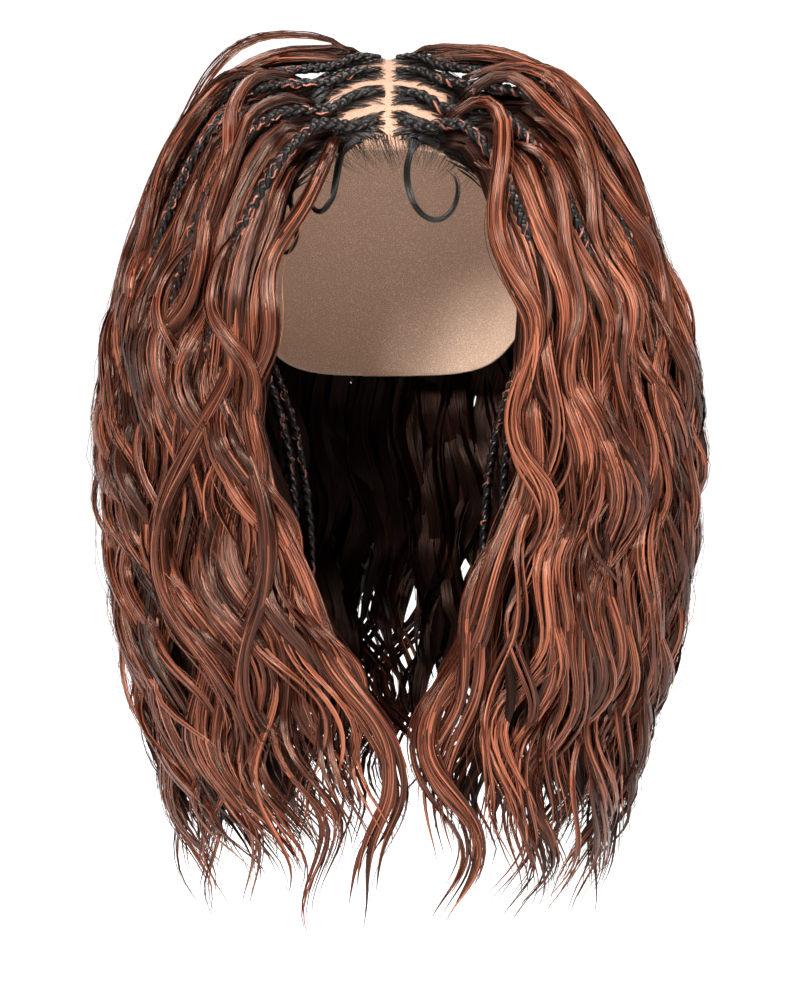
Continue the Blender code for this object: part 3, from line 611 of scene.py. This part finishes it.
def plait_strands(dice, route, threads):
    """Three strands that cross over and under each other along the route, with this many thin
    copper threads wound round them and a few loose hairs."""
    _, length = smooth_line(route, 10)
    samples = round(length / PLAIT_TURN * TURN_SAMPLES)
    line, _ = smooth_line(route, samples)
    gone = np.linspace(0, length, samples)
    outs = head_normal(line)
    across = unit(np.cross(outs, np.gradient(line, axis=0)))
    share = gone / length
    full = np.interp(share, (0, 0.10, 0.86, 1.0), (0.5, 1.0, 1.0, 0.42))[None, :]
    phase = 2 * np.pi * (gone[None, :] / PLAIT_TURN + np.arange(3)[:, None] / 3)
    phase = phase + 0.25 * np.sin(2 * np.pi * gone / 0.037 + dice.uniform(0, 6))
    aside = PLAIT_WIDTH * 0.265 * np.sin(phase) * full
    above = PLAIT_WIDTH * 0.15 * np.sin(2 * phase) * full
    paths = line + across * aside[..., None] + outs * above[..., None]
    widths = PLAIT_WIDTH * 0.50 * full * (1 + 0.10 * np.sin(phase * 2 + 1.0))
    tones = 0.10 + 0.50 * np.clip((share - 0.86) / 0.14, 0, 1) + 0 * widths
    outs = np.broadcast_to(outs, paths.shape)
    bunches = [(paths, outs, widths, tones, STRAND_SECTION)]
    for strand in np.arange(threads) % 3:
        turn = dice.uniform(0, 6.3) + gone / dice.uniform(0.0034, 0.0050)
        reach = widths[strand] / 2 * 0.93
        thread = paths[strand] + across * (reach * np.cos(turn))[:, None]
        thread = thread + outs[strand] * (reach * 0.82 * np.sin(turn))[:, None]
        first = int(dice.uniform(0.04, 0.5) * samples)
        part = slice(first, first + samples // 2)
        bunches.append((
            thread[None, part], outs[:1, part],
            np.full((1, len(thread[part])), dice.uniform(0.0009, 0.0014)),
            np.full((1, 1), dice.uniform(0.66, 0.84)), HAIR_SECTION,
        ))
    at = dice.integers(4, samples - 8, LOOSE_HAIRS)
    step = np.linspace(0, 1, 7)
    reach = step[None, :, None]
    start, ahead = line[at][:, None], (line[at + 4] - line[at])[:, None]
    lean = across[at][:, None] * dice.uniform(-1, 1, (LOOSE_HAIRS, 1, 1)) * 0.0045
    loose = start + ahead * reach * dice.uniform(0.6, 1.6, (LOOSE_HAIRS, 1, 1)) + lean * reach
    loose = loose + outs[0][at][:, None] * (0.0026 + 0.0022 * reach ** 2)
    bunches.append((
        loose, np.broadcast_to(outs[0][at][:, None], loose.shape),
        np.full((LOOSE_HAIRS, len(step)), 0.00026) * np.linspace(1, 0.4, len(step)),
        dice.uniform(0.1, 0.5, (LOOSE_HAIRS, 1)), HAIR_SECTION,
    ))
    return bunches


for (side, sign), first_seed in zip(SIGNS.items(), (60, 65)):
    for row, (roots, falls) in enumerate(zip(PLAIT_ROOTS, PLAIT_FALLS[side])):
        places = np.array(roots) * (sign, 1) * HEAD_HALF[:2]
        seat = np.full(len(places), PLAIT_SEAT)
        seat[0] = PLAIT_ROOT_SEAT
        on_cap, _ = cap_points(places[:, 0], places[:, 1], seat)
        turn, along = sign * np.array(falls)[:, 0], np.array(falls)[:, 1]
        in_hair = hair_surface(turn, along) - hair_normal(turn, along) * PLAIT_SINK
        dice = np.random.default_rng(first_seed + row)
        bunches = plait_strands(dice, np.concatenate((on_cap, in_hair)), PLAIT_THREADS)
        end = f"{side}_{row + 1}"
        strand_piece(f"plait_{end}", bunches, black_material, "braid_hair", f"braid_{end}")

for number, (name, (sign, inward, longer, rooted)) in enumerate(NECK_PLAITS.items()):
    route = []
    for place, (side, front, drop) in enumerate(NECK_ROUTE):
        hanging = max(0, place - 1) / (len(NECK_ROUTE) - 2)
        y = (front + rooted * (1 - hanging)) * HEAD_HALF[1]
        z = -drop * (1 + (longer - 1) * hanging) * HAIR_DROP
        if place < 2:  # on the cap
            half = HEAD_HALF + LACE_WALL + (PLAIT_ROOT_SEAT if place == 0 else PLAIT_SEAT)
            x = half[0] * math.sqrt(1 - (y / half[1]) ** 2 - ((z + HEAD_HALF[2]) / half[2]) ** 2)
        else:
            x = side * (1 + (inward - 1) * hanging) * HEAD_HALF[0]
        route.append((sign * x, y, z))
    bunches = plait_strands(np.random.default_rng(80 + number), route, NECK_THREADS)
    strand_piece(name.replace("braid", "plait"), bunches, black_material, "braid_hair", name)

# The loose waves
# Long copper brown hair in wavy locks, knotted to the cap between the plaits. Each lock is a
# smooth bunch of fine hair that swells below its root, sways, bends and thins to its tips.
SIDE_END_DEG = 118.7
BACK_START_DEG = 119.3
FRONT_EDGE = np.array((
    # along, left, right
    (0.00, 20.0, 20.0),
    (0.50, 27.0, 26.0),
    (1.00, 28.0, 26.0),
    (1.22, 27.5, 26.0),
    (1.38, 22.0, 21.5),
    (1.49, 16.0, 16.5),
    (1.56, 11.0, 14.0),
    (1.63, 6.0, 12.0),
    (1.70, 2.0, 9.5),
    (2.00, 1.5, 9.5),
))

COPPER_TONES = (
    (0.0, (0.0020, 0.0009, 0.0007)),
    (0.25, (0.0050, 0.0013, 0.0008)),
    (0.50, (0.022, 0.0040, 0.0018)),
    (0.75, (0.082, 0.0175, 0.0080)),
    (1.0, (0.300, 0.092, 0.047)),
)
copper_material = hair_material("copper_hair", 0.25, COPPER_TONES, (1.0, 0.62, 0.47), 0.44, 0.40)
# A duller copy of the copper hair for the layers beneath the top ones: painted shade, with less
# gloss where that hair lies in shade.
shaded_copper_material = hair_material(
    "copper_hair_shaded", 0.36, COPPER_TONES, (1.0, 0.58, 0.44), 0.20, 0.40)
LOCK_STEPS = 140
EASED_LINE = 16  # steps over which a lock's line, facing and turn are smoothed
EASED_FACING = 24
EASED_TURN = 44
LOCK_WRAP = 3.8  # radians round a lock that its strands lie on, its outer face in the middle
# How wide a lock and a strand are on their way down: shares of the length, shares of the width.
LOCK_SPREAD = ((0, 0.05, 0.18, 0.40, 0.75, 1.0), (0.50, 0.62, 0.85, 1.0, 0.95, 0.60))
STRAND_TAPER = ((0, 0.05, 0.6, 0.9, 1.0), (0.3, 0.9, 1.0, 0.72, 0.06))
ROOT_DIP = 0.009  # how deep a lock's root is sunk below the ones beside it
CAP_CLEAR = 0.0022
CAP_NEAR = 0.009  # strands closer to the cap than this lie flat on it
SINGLE_HAIR = 0.00034  # its width


def side_azimuth(sign):
    """Where a lock of this side hangs, in degrees from the front, swung in to the front edge."""
    edges = FRONT_EDGE[:, 1 if sign < 0 else 2]

    def azimuth(place, along):
        swing = (np.interp(along, FRONT_EDGE[:, 0], edges) - edges.max()) * (1 - place) ** 2.2
        return sign * (edges.max() + (SIDE_END_DEG - edges.max()) * place + swing)
    return azimuth


def back_azimuth(place, along):
    return np.full_like(along, BACK_START_DEG + (360 - 2 * BACK_START_DEG) * place)


def eased(values, width):
    """The values along a line, with their sharp bends rounded over this many steps."""
    half = width // 2
    before, after = 2 * values[0] - values[half:0:-1], 2 * values[-1] - values[-2:-half - 2:-1]
    long = np.concatenate((before, values, after))
    window = np.hanning(2 * half + 1)
    window /= window.sum()
    return np.stack(
        [np.convolve(long[:, i], window, "valid") for i in range(values.shape[1])], axis=-1)


def off_the_head(points):
    """The same points, those inside the cap moved out to just over it."""
    half = HEAD_HALF + LACE_WALL + CAP_CLEAR
    reach = np.linalg.norm((points - middle) / half, axis=-1, keepdims=True)
    return np.where(reach < 1, middle + (points - middle) / np.maximum(reach, 0.2), points)


def lock_strands(dice, turn, along, height, lock, count, samples, outline=STRIP_SECTION):
    """The strands of one lock along a line on the hair's form, this high over it."""
    line_out = unit(eased(hair_normal(turn, along), EASED_FACING))
    line = eased(hair_surface(turn, along), EASED_LINE) + line_out * height[:, None]
    line_down = unit(np.gradient(line, axis=0))
    lengths = length_so_far(line)
    whole = lengths[-1]
    reach = whole * dice.uniform(lock.get("shortest", 0.90), 1.0, (count, 1))
    spacing = np.interp(np.linspace(0, 1, samples), (0, 0.13, 1.0), (0, 0.24, 1.0))
    gone = spacing[None, :] * reach
    share = gone / whole

    def at(values):
        return np.stack([np.interp(gone, lengths, values[:, i]) for i in range(3)], axis=-1)

    centre, out, down = at(line), unit(at(line_out)), unit(at(line_down))
    across = unit(np.cross(out, down))
    grown = np.clip((gone - lock["calm"]) / lock["growth"], 0.0, 1.0) ** 1.3
    wave = 2 * np.pi * (gone / lock["wave"] + lock["phase"])
    slow = np.sin(0.43 * wave + 2 * np.pi * lock["phase"])
    spread = np.interp(share, *LOCK_SPREAD)
    place = (np.arange(count)[:, None] + dice.uniform(0.1, 0.9, (count, 1))) / count
    angle = np.pi / 2 + LOCK_WRAP * (place - 0.5) + lock["twist"] * share
    far = np.sqrt(dice.uniform(0.60, 1.0, (count, 1)))
    half_wide, half_deep = lock["width"] / 2 * spread, lock["thick"] / 2 * spread
    stray, stray_out = np.zeros_like(gone), np.zeros_like(gone)
    for size in (1.0, 0.6):
        period = dice.uniform(0.09, 0.17, (count, 1)) * size
        phase, phase_out = dice.uniform(0, 2 * np.pi, (2, count, 1))
        stray = stray + size * np.sin(2 * np.pi * gone / period + phase)
        stray_out = stray_out + size * np.sin(2 * np.pi * gone / period + phase_out)
    loose = lock["frizz"] * np.clip(gone / 0.05, 0, 1) * (0.35 + 1.3 * share ** 1.5)
    fan = dice.normal(0, 1, (count, 1)) * lock.get("fan", 0.004) * share ** 3
    aside = far * half_wide * np.cos(angle) + stray * loose + fan
    aside = aside + lock["sway"] * grown * (np.sin(wave) + 0.35 * slow) * (0.8 + 0.5 * share)
    outward = far * half_deep * np.sin(angle) + stray_out * loose
    outward = outward + lock["lift"] * grown * np.cos(wave + 0.5 * slow)
    paths = off_the_head(centre + across * aside[..., None] + out * outward[..., None])
    facing = (
        across * (np.cos(angle) / lock["width"])[..., None]
        + out * (np.maximum(np.sin(angle), 0.05) / lock["thick"])[..., None]
    )
    near_cap = HEAD_HALF + CAP_NEAR
    at_cap = np.linalg.norm((paths - middle) / near_cap, axis=-1, keepdims=True) < 1
    facing = np.where(at_cap, head_normal(paths), facing)
    taper = np.interp(share * whole / reach, *STRAND_TAPER)
    widths = lock["strip"] * dice.uniform(0.70, 1.25, (count, 1)) * taper
    # The strands at a lock's sides get darker tones than those across its middle: painted shade
    # that rounds the lock.
    tones = lock["tone"] + dice.normal(0.0, 0.05, (count, 1)) - 0.16 * np.cos(angle) ** 2
    tones = tones - lock.get("root_shade", 0.30) * np.clip(1 - gone / 0.045, 0, 1)
    return paths, facing, widths, np.clip(tones, 0.02, 1.0), outline


def fill_with_locks(dice, azimuth, count, layer, open_front):
    """Locks side by side across one part of the hair, each a little unlike its neighbours."""
    bunches, hairs = [], []
    phase, wave = dice.uniform(0, 1), dice.uniform(*layer["wave"])
    for place in np.linspace(layer["edge"] * open_front, 0.98, count):
        place = place + dice.uniform(-0.35, 0.35) / count
        phase += dice.normal(0, 0.13)
        wave = wave + 0.4 * (dice.uniform(*layer["wave"]) - wave)
        start, tip = dice.uniform(*layer["start"]), dice.uniform(*layer["tip"])
        along = np.linspace(start, tip, LOCK_STEPS)
        drift = dice.uniform(-0.05, 0.05) * np.clip((along - start) / (tip - start), 0, 1)
        turn = azimuth(np.clip(place + drift, 0.0, 1.0), along)
        turn = eased(turn[:, None], EASED_TURN)[:, 0]
        depth = dice.uniform(*layer["depth"])
        height = -depth - layer["below"] * np.interp(along, (0.85, 1.15), (1.0, 0.0))
        height = height - ROOT_DIP * np.clip(1 - np.linspace(0, 7, LOCK_STEPS), 0, 1)
        lock = {
            "width": dice.uniform(*layer["width"]),
            "thick": layer["thick"] * dice.uniform(0.8, 1.3),
            "wave": wave,
            "phase": phase,
            "sway": dice.uniform(*layer["sway"]) * np.interp(place, (0.04, 0.2), (0.5, 1.0)),
            "lift": dice.uniform(*layer["lift"]),
            "calm": dice.uniform(0.0, 0.03),
            "growth": dice.uniform(0.10, 0.20),
            "twist": dice.uniform(-1.1, 1.1),
            "frizz": layer["frizz"],
            "strip": layer["strip"],
            "tone": dice.uniform(*layer["tone"]),
        }
        bunches.append(
            lock_strands(dice, turn, along, height, lock, layer["strands"], layer["samples"]))
        if layer["hairs"]:
            thin = dict(
                lock, strip=SINGLE_HAIR, frizz=0.0030, fan=0.010, shortest=0.7,
                width=lock["width"] * 1.25, tone=lock["tone"] + 0.05)
            hairs.append(
                lock_strands(dice, turn, along, height, thin, layer["hairs"], 32, HAIR_SECTION))
    return bunches, hairs


# Layer by layer down from the top, the locks' tones grow darker: painted shade for the depth at
# which each layer lies.
TOP = {
    "start": (0.14, 0.55), "tip": (1.86, 2.05), "depth": (-0.001, 0.004), "width": (0.012, 0.019),
    "thick": 0.0064, "wave": (0.070, 0.115), "sway": (0.006, 0.0125), "lift": (0.004, 0.0065),
    "frizz": 0.0007, "strip": 0.0028, "tone": (0.44, 0.88), "strands": 12, "samples": 50,
    "hairs": 4, "edge": 0.055, "below": 0.004,
}
SMALL = dict(
    TOP, start=(0.4, 1.05), depth=(-0.002, 0.001), width=(0.005, 0.008), thick=0.004,
    strands=4, hairs=2, tone=(0.60, 0.92), below=0.006, edge=0.06, sway=(0.007, 0.013),
)
MIDDLE = dict(
    TOP, start=(0.0, 0.22), tip=(1.80, 2.03), depth=(0.006, 0.012), tone=(0.18, 0.54),
    strands=8, samples=38, hairs=1, width=(0.013, 0.020), strip=0.0034, edge=0.075, below=0.001,
)
UNDER = dict(
    TOP, start=(0.0, 0.05), tip=(1.66, 1.96), depth=(0.014, 0.034), tone=(0.03, 0.20),
    strands=7, samples=24, hairs=0, width=(0.030, 0.040), thick=0.010, strip=0.0090, edge=0.13,
    sway=(0.003, 0.006),
)
SIDES = {
    # side: azimuth, locks in each layer, share of the edge kept open in front, seed
    "left": (side_azimuth(-1), (25, 15, 22, 18), 1.0, 11),
    "right": (side_azimuth(1), (25, 15, 22, 18), 1.0, 23),
    "back": (back_azimuth, (20, 8, 20, 18), 0.2, 37),
}
for side, (azimuth, counts, open_front, seed) in SIDES.items():
    dice = np.random.default_rng(seed)
    hairs = []
    names = ("top", "small", "middle", "under")
    for layer_name, layer, count in zip(names, (TOP, SMALL, MIDDLE, UNDER), counts):
        bunches, thin = fill_with_locks(dice, azimuth, count, layer, open_front)
        hairs += thin
        material = copper_material if layer_name in ("top", "small") else shaded_copper_material
        strand_piece(
            f"waves_{side}_{layer_name}", bunches, material, "wave_hair", f"waves_{side}")
    strand_piece(f"waves_{side}_hairs", hairs, copper_material, "wave_hair", f"waves_{side}")

# The locks that lead
# The locks that the eye follows: those that spring from between the plaits and arch over the
# rest, those beside the opening in front, the large curls and each plait's loose end.
LEAD_STEPS = 160
LEADING_LOCKS = (
    # width, tone, wave and sway, then degrees from the front, hundredths along the hair's form
    # and millimetres over it
    (0.014, 0.72, 0.085, 0.003, (
        (-22, 24, 0), (-19, 52, 1), (-21, 78, 1), (-25, 93, 0), (-27, 103, 1), (-25, 110, 2),
        (-28, 119, 2), (-26, 127, 1), (-29, 136, 0), (-24, 148, 0), (-17, 160, 1))),
    (0.013, 0.74, 0.080, 0.003, (
        (-70, 8, 4), (-66, 29, 6), (-58, 48, 6), (-49, 65, 5), (-48, 83, 4), (-46, 98, 3),
        (-49, 106, 3), (-56, 116, 3), (-50, 128, 3), (-54, 142, 3))),
    (0.013, 0.70, 0.080, 0.003, (
        (-45, 10, 3), (-46, 29, 5), (-50, 47, 5), (-48, 60, 4), (-46, 76, 4), (-48, 93, 3),
        (-56, 103, 3), (-54, 112, 3), (-44, 122, 3), (-50, 136, 3))),
    (0.015, 0.68, 0.200, 0.001, (
        (-33, 92, -6), (-31, 105, -3), (-33, 117, 2), (-40, 127, 6), (-47, 136, 8), (-50, 145, 8),
        (-47, 153, 7), (-39, 161, 5), (-35, 170, 3), (-39, 180, 2))),
    (0.013, 0.64, 0.200, 0.001, (
        (-44, 98, -6), (-41, 110, -2), (-34, 121, 3), (-27, 130, 6), (-23, 140, 7), (-25, 149, 6),
        (-31, 157, 5), (-34, 166, 3), (-28, 176, 2))),
    (0.022, 0.78, 0.110, 0.003, (
        (-100, -62, 3), (-98, -25, 6), (-95, 6, 8), (-91, 23, 7), (-87, 40, 6), (-83, 58, 6),
        (-84, 78, 5), (-79, 96, 4), (-84, 108, 5), (-76, 120, 4), (-82, 134, 3), (-76, 150, 3))),
    (0.015, 0.70, 0.110, 0.003, (
        (-84, -40, 0), (-86, -10, 4), (-90, 12, 6), (-95, 28, 6), (-98, 46, 6), (-97, 66, 5),
        (-94, 86, 4), (-100, 100, 5), (-93, 114, 4), (-99, 130, 3), (-93, 144, 3))),
    (0.015, 0.66, 0.110, 0.003, (
        (-115, -45, 1), (-113, -15, 5), (-110, 13, 7), (-107, 27, 7), (-104, 46, 6),
        (-106, 66, 5), (-102, 86, 4), (-107, 100, 4), (-101, 114, 4), (-106, 130, 3))),
    (0.014, 0.74, 0.100, 0.003, (
        (-76, 16, 3), (-79, 28, 6), (-85, 42, 7), (-90, 56, 6), (-89, 72, 5), (-84, 88, 4),
        (-90, 102, 5), (-86, 116, 5), (-92, 130, 4), (-86, 144, 3))),
    (0.020, 0.62, 0.110, 0.003, (
        (-126, -50, 2), (-124, -20, 5), (-121, 8, 6), (-118, 25, 5), (-116, 44, 4), (-117, 64, 4),
        (-114, 84, 3), (-117, 100, 3), (-112, 114, 3), (-116, 130, 3))),
    (0.003, 0.66, 0.120, 0.002, (
        (-92, -50, 2), (-88, -10, 13), (-88, 20, 17), (-88, 40, 14), (-90, 60, 10), (-88, 80, 7),
        (-92, 100, 6), (-86, 120, 6), (-90, 140, 6))),
    (0.012, 0.82, 0.090, 0.002, (
        (-37, 88, 2), (-40, 101, 4), (-39, 107, 5), (-33, 112, 5), (-28, 117, 4), (-29, 125, 3),
        (-36, 134, 3), (-33, 145, 3))),
    (0.014, 0.78, 0.085, 0.002, (
        (32, 10, 2), (41, 22, 5), (38, 42, 7), (32, 58, 6), (26, 76, 5), (24, 91, 4),
        (26, 102, 4), (29, 108, 4), (26, 115, 4), (24, 126, 3), (30, 137, 3), (25, 150, 3))),
    (0.019, 0.80, 0.100, 0.003, (
        (72, 3, 5), (76, 20, 7), (78, 36, 6), (67, 57, 5), (65, 74, 4), (68, 89, 4), (76, 100, 4),
        (70, 112, 4), (60, 122, 3), (66, 136, 3), (58, 150, 3))),
    (0.016, 0.76, 0.100, 0.003, (
        (50, 8, 4), (60, 18, 7), (59, 32, 7), (57, 48, 6), (60, 64, 5), (55, 81, 4), (52, 95, 4),
        (55, 105, 4), (47, 116, 4), (50, 130, 3), (42, 144, 3))),
    (0.013, 0.82, 0.090, 0.002, (
        (41, 52, 3), (44, 68, 5), (43, 83, 5), (40, 97, 5), (40, 106, 4), (35, 116, 4),
        (40, 128, 4), (34, 142, 3))),
    (0.024, 0.82, 0.110, 0.003, (
        (100, -66, 3), (98, -25, 7), (95, 6, 9), (91, 23, 8), (88, 40, 7), (85, 58, 7),
        (81, 78, 5), (86, 96, 4), (80, 108, 5), (86, 120, 4), (78, 134, 3), (84, 150, 3))),
    (0.017, 0.76, 0.110, 0.003, (
        (84, -45, 0), (86, -10, 5), (92, 12, 7), (97, 28, 7), (98, 46, 6), (96, 66, 5),
        (93, 86, 4), (99, 100, 5), (92, 114, 4), (98, 130, 3), (92, 144, 3))),
    (0.020, 0.66, 0.110, 0.003, (
        (126, -50, 2), (124, -20, 5), (121, 8, 6), (118, 25, 5), (116, 44, 4), (117, 64, 4),
        (114, 84, 3), (117, 100, 3), (112, 114, 3), (116, 130, 3))),
    (0.015, 0.70, 0.110, 0.003, (
        (116, -45, 1), (113, -15, 5), (110, 13, 7), (107, 27, 7), (103, 46, 6), (106, 66, 5),
        (101, 86, 4), (107, 100, 4), (101, 114, 4), (106, 130, 3))),
    (0.014, 0.78, 0.100, 0.003, (
        (75, 14, 3), (78, 26, 7), (84, 40, 8), (89, 54, 7), (88, 70, 5), (83, 86, 4),
        (88, 100, 5), (82, 114, 5), (89, 128, 4), (84, 142, 3))),
    (0.018, 0.74, 0.110, 0.004, (
        (-30, 122, -6), (-24, 137, -3), (-17, 150, 0), (-9, 161, 1), (-2, 172, 1), (2, 182, 0),
        (-4, 192, 0), (-10, 199, 0))),
    (0.018, 0.76, 0.110, 0.004, (
        (32, 120, -6), (25, 136, -3), (18, 150, 0), (14, 161, 1), (9, 171, 1), (12, 180, 0),
        (20, 190, 0), (16, 199, 0))),
)


def leading_bunches(dice, width, tone, wave, sway, places, strands):
    """Three small locks side by side along one smooth line, each with a few single hairs."""
    line, _ = smooth_line(places, LEAD_STEPS)
    turn, along, height = line[:, 0], line[:, 1] / 100, line[:, 2] / 1000
    height = height - ROOT_DIP * np.clip(1 - np.linspace(0, 5, LEAD_STEPS), 0, 1) ** 2
    phase = dice.uniform(0, 1)
    bunches = []
    for part in (-1, 0, 1):
        lock = {
            "width": width * 0.62, "thick": 0.0050, "wave": wave * dice.uniform(0.93, 1.07),
            "phase": phase + dice.uniform(-0.06, 0.06), "sway": sway, "lift": 0.0024,
            "calm": 0.02, "growth": 0.12, "twist": dice.uniform(-1.6, 1.6), "frizz": 0.0007,
            "strip": max(0.0006, width * 0.20), "tone": tone + dice.uniform(-0.10, 0.08),
            "root_shade": 0.42, "shortest": 0.80,
        }
        aside = part * width * 0.30 / 0.12 * np.sin(np.linspace(0.3, 3.4, LEAD_STEPS) + phase)
        apart = turn + np.degrees(aside * 0.12)
        deeper = height - 0.0016 * abs(part) - dice.uniform(0, 0.0015)
        bunches.append(lock_strands(dice, apart, along, deeper, lock, strands, 52))
        thin = dict(lock, strip=SINGLE_HAIR, frizz=0.0022, width=width, shortest=0.7)
        bunches.append(lock_strands(dice, apart, along, deeper, thin, 2, 40, HAIR_SECTION))
    return bunches


dice = np.random.default_rng(101)
lead = {"left": [], "right": []}
for width, tone, wave, sway, places in LEADING_LOCKS:
    side = "left" if places[0][0] < 0 else "right"
    lead[side] += leading_bunches(dice, width, tone, wave, sway, places, 6)
for side, sign in SIGNS.items():
    for falls in PLAIT_FALLS[side]:
        turn, along = falls[-1]
        bends = (0, 1, dice.uniform(-5, 4), dice.uniform(-7, 2), dice.uniform(-7, 2))
        places = [
            (sign * (turn + bend), 100 * along + 13 * step - 7, 0.5 + step)
            for step, bend in enumerate(bends)
        ]
        lead[side] += leading_bunches(dice, 0.010, 0.55, 0.075, 0.004, places, 3)
for side, bunches in lead.items():
    strand_piece(
        f"leading_locks_{side}", bunches, copper_material, "wave_hair", f"waves_{side}")

# The gelled curls and baby hair
# Short hair at the front edge of the lace, shaped with gel. Most of it fans down from the edge,
# and three bundles of it are drawn out into flat curls.
CURLS = {
    # side and drop, as shares of the head's half width and of its rise
    "edge_curl_right": (
        (0.17, 0.345), (0.135, 0.415), (0.115, 0.485), (0.125, 0.56), (0.165, 0.635),
        (0.235, 0.685), (0.315, 0.695), (0.395, 0.655), (0.43, 0.58), (0.415, 0.515),
        (0.36, 0.475),
    ),
    "edge_curl_left_1": (
        (-0.26, 0.37), (-0.30, 0.44), (-0.32, 0.52), (-0.345, 0.60), (-0.40, 0.655),
        (-0.45, 0.655), (-0.48, 0.615), (-0.472, 0.57),
    ),
    "edge_curl_left_2": (
        (-0.621, 0.60), (-0.58, 0.69), (-0.565, 0.77), (-0.60, 0.825), (-0.64, 0.84),
        (-0.665, 0.81), (-0.65, 0.76),
    ),
}
CURL_SEAT = 0.0013
CURL_HAIRS = 24
CURL_SAMPLES = 48
BABY_HAIRS = 190


def on_front(side, drop, lift):
    """Points on the front of the cap's form carried on below its edge, and the way out there."""
    half = HEAD_HALF + LACE_WALL
    x, z = side * HEAD_HALF[0], -drop * HEAD_HALF[2]
    inside = 1 - (x / half[0]) ** 2 - ((z + HEAD_HALF[2]) / half[2]) ** 2
    points = np.stack((x, -half[1] * np.sqrt(np.clip(inside, 0, 1)), z), axis=-1)
    out = head_normal(points)
    return points + out * np.expand_dims(lift, -1), out


for number, (name, places) in enumerate(CURLS.items()):
    dice = np.random.default_rng(140 + number)
    places = np.array(places)
    seated, _ = on_front(places[:, 0], places[:, 1], np.full(len(places), CURL_SEAT))
    line, _ = smooth_line(seated, CURL_SAMPLES)
    out = head_normal(line)
    across = unit(np.cross(out, np.gradient(line, axis=0)))
    steps = np.arange(CURL_SAMPLES)
    along = np.linspace(0, 1, CURL_SAMPLES)
    share = along[None, :] * dice.uniform(0.82, 1.0, (CURL_HAIRS, 1))
    where = share * (CURL_SAMPLES - 1)
    line, out, across = (
        np.stack([np.interp(where, steps, values[:, i]) for i in range(3)], axis=-1)
        for values in (line, out, across)
    )
    spread = np.interp(share, (0, 0.10, 0.30, 0.75, 1.0), (0.0046, 0.0013, 0.0015, 0.0010, 0.0012))
    aside = dice.uniform(-1, 1, (CURL_HAIRS, 1)) * spread
    above = dice.uniform(-0.0004, 0.0005, (CURL_HAIRS, 1)) + 0 * spread
    paths = line + across * aside[..., None] + out * above[..., None]
    widths = 0.00095 * dice.uniform(0.7, 1.2, (CURL_HAIRS, 1)) * np.interp(
        along, (0, 0.1, 0.8, 1.0), (0.5, 1.0, 0.8, 0.2))
    bunch = (paths, out, widths, dice.uniform(0.0, 0.10, (CURL_HAIRS, 1)), HAIR_SECTION)
    strand_piece(name.replace("edge", "gelled"), [bunch], black_material, "edge_hair", name)

dice = np.random.default_rng(150)
side = dice.uniform(-0.58, 0.60, (BABY_HAIRS, 1))
start_drop = np.interp(np.abs(side), (0.0, 0.30, 0.50, 0.62), (0.345, 0.355, 0.40, 0.50))
length = dice.uniform(0.05, 0.17, side.shape)
lean = np.where(side > 0.17, -0.35, 0.30) * np.abs(side - 0.15) + dice.normal(0, 0.03, side.shape)
share = np.linspace(0, 1, 11)[None, :]
across = side + lean * share ** 1.3 * length / 0.12
down = start_drop - 0.02 + length * share
paths, outs = on_front(across, down, 0.0004 + 0.0030 * share * (1 - 0.5 * share))
widths = np.full(across.shape, 0.00030) * np.interp(share, (0, 0.6, 1), (1.0, 0.8, 0.2))
baby = (paths, outs, widths, dice.uniform(0.0, 0.35, (BABY_HAIRS, 1)), HAIR_SECTION)
strand_piece("baby_hair", [baby], black_material, "edge_hair")

# The flyaway hair
# Single hairs that have come free of the locks and stand off the outline, most at the sides and
# ends. They wave as the locks do, but are thinner and looser.
FLYAWAYS = 38
FLYAWAY_STEPS = 80

dice = np.random.default_rng(170)
bunches = []
for number in range(FLYAWAYS):
    at_back = number % 4 == 0
    turn_at = dice.uniform(118, 242) if at_back else dice.uniform(36, 118) * (-1) ** number
    start = dice.uniform(0.30, 1.55)
    tip = min(2.0, start + dice.uniform(0.35, 0.75))
    share = np.linspace(0, 1, FLYAWAY_STEPS)
    along = np.linspace(start, tip, FLYAWAY_STEPS)
    turn = turn_at + dice.uniform(-9, 9) * share
    rise = np.sin(np.pi * share) * dice.uniform(0.002, 0.005 if at_back else 0.012)
    lock = {
        "width": 0.010, "thick": 0.006, "wave": dice.uniform(0.045, 0.095),
        "phase": dice.uniform(0, 1), "sway": dice.uniform(0.004, 0.013), "lift": 0.004,
        "calm": 0.01, "growth": 0.08, "twist": 1.0, "frizz": 0.0016, "strip": 0.00036,
        "tone": dice.uniform(0.25, 0.7), "shortest": 0.6, "fan": 0.012,
    }
    bunches.append(lock_strands(dice, turn, along, rise, lock, 3, 34, HAIR_SECTION))
strand_piece("flyaway_hair", bunches, copper_material, "wave_hair")
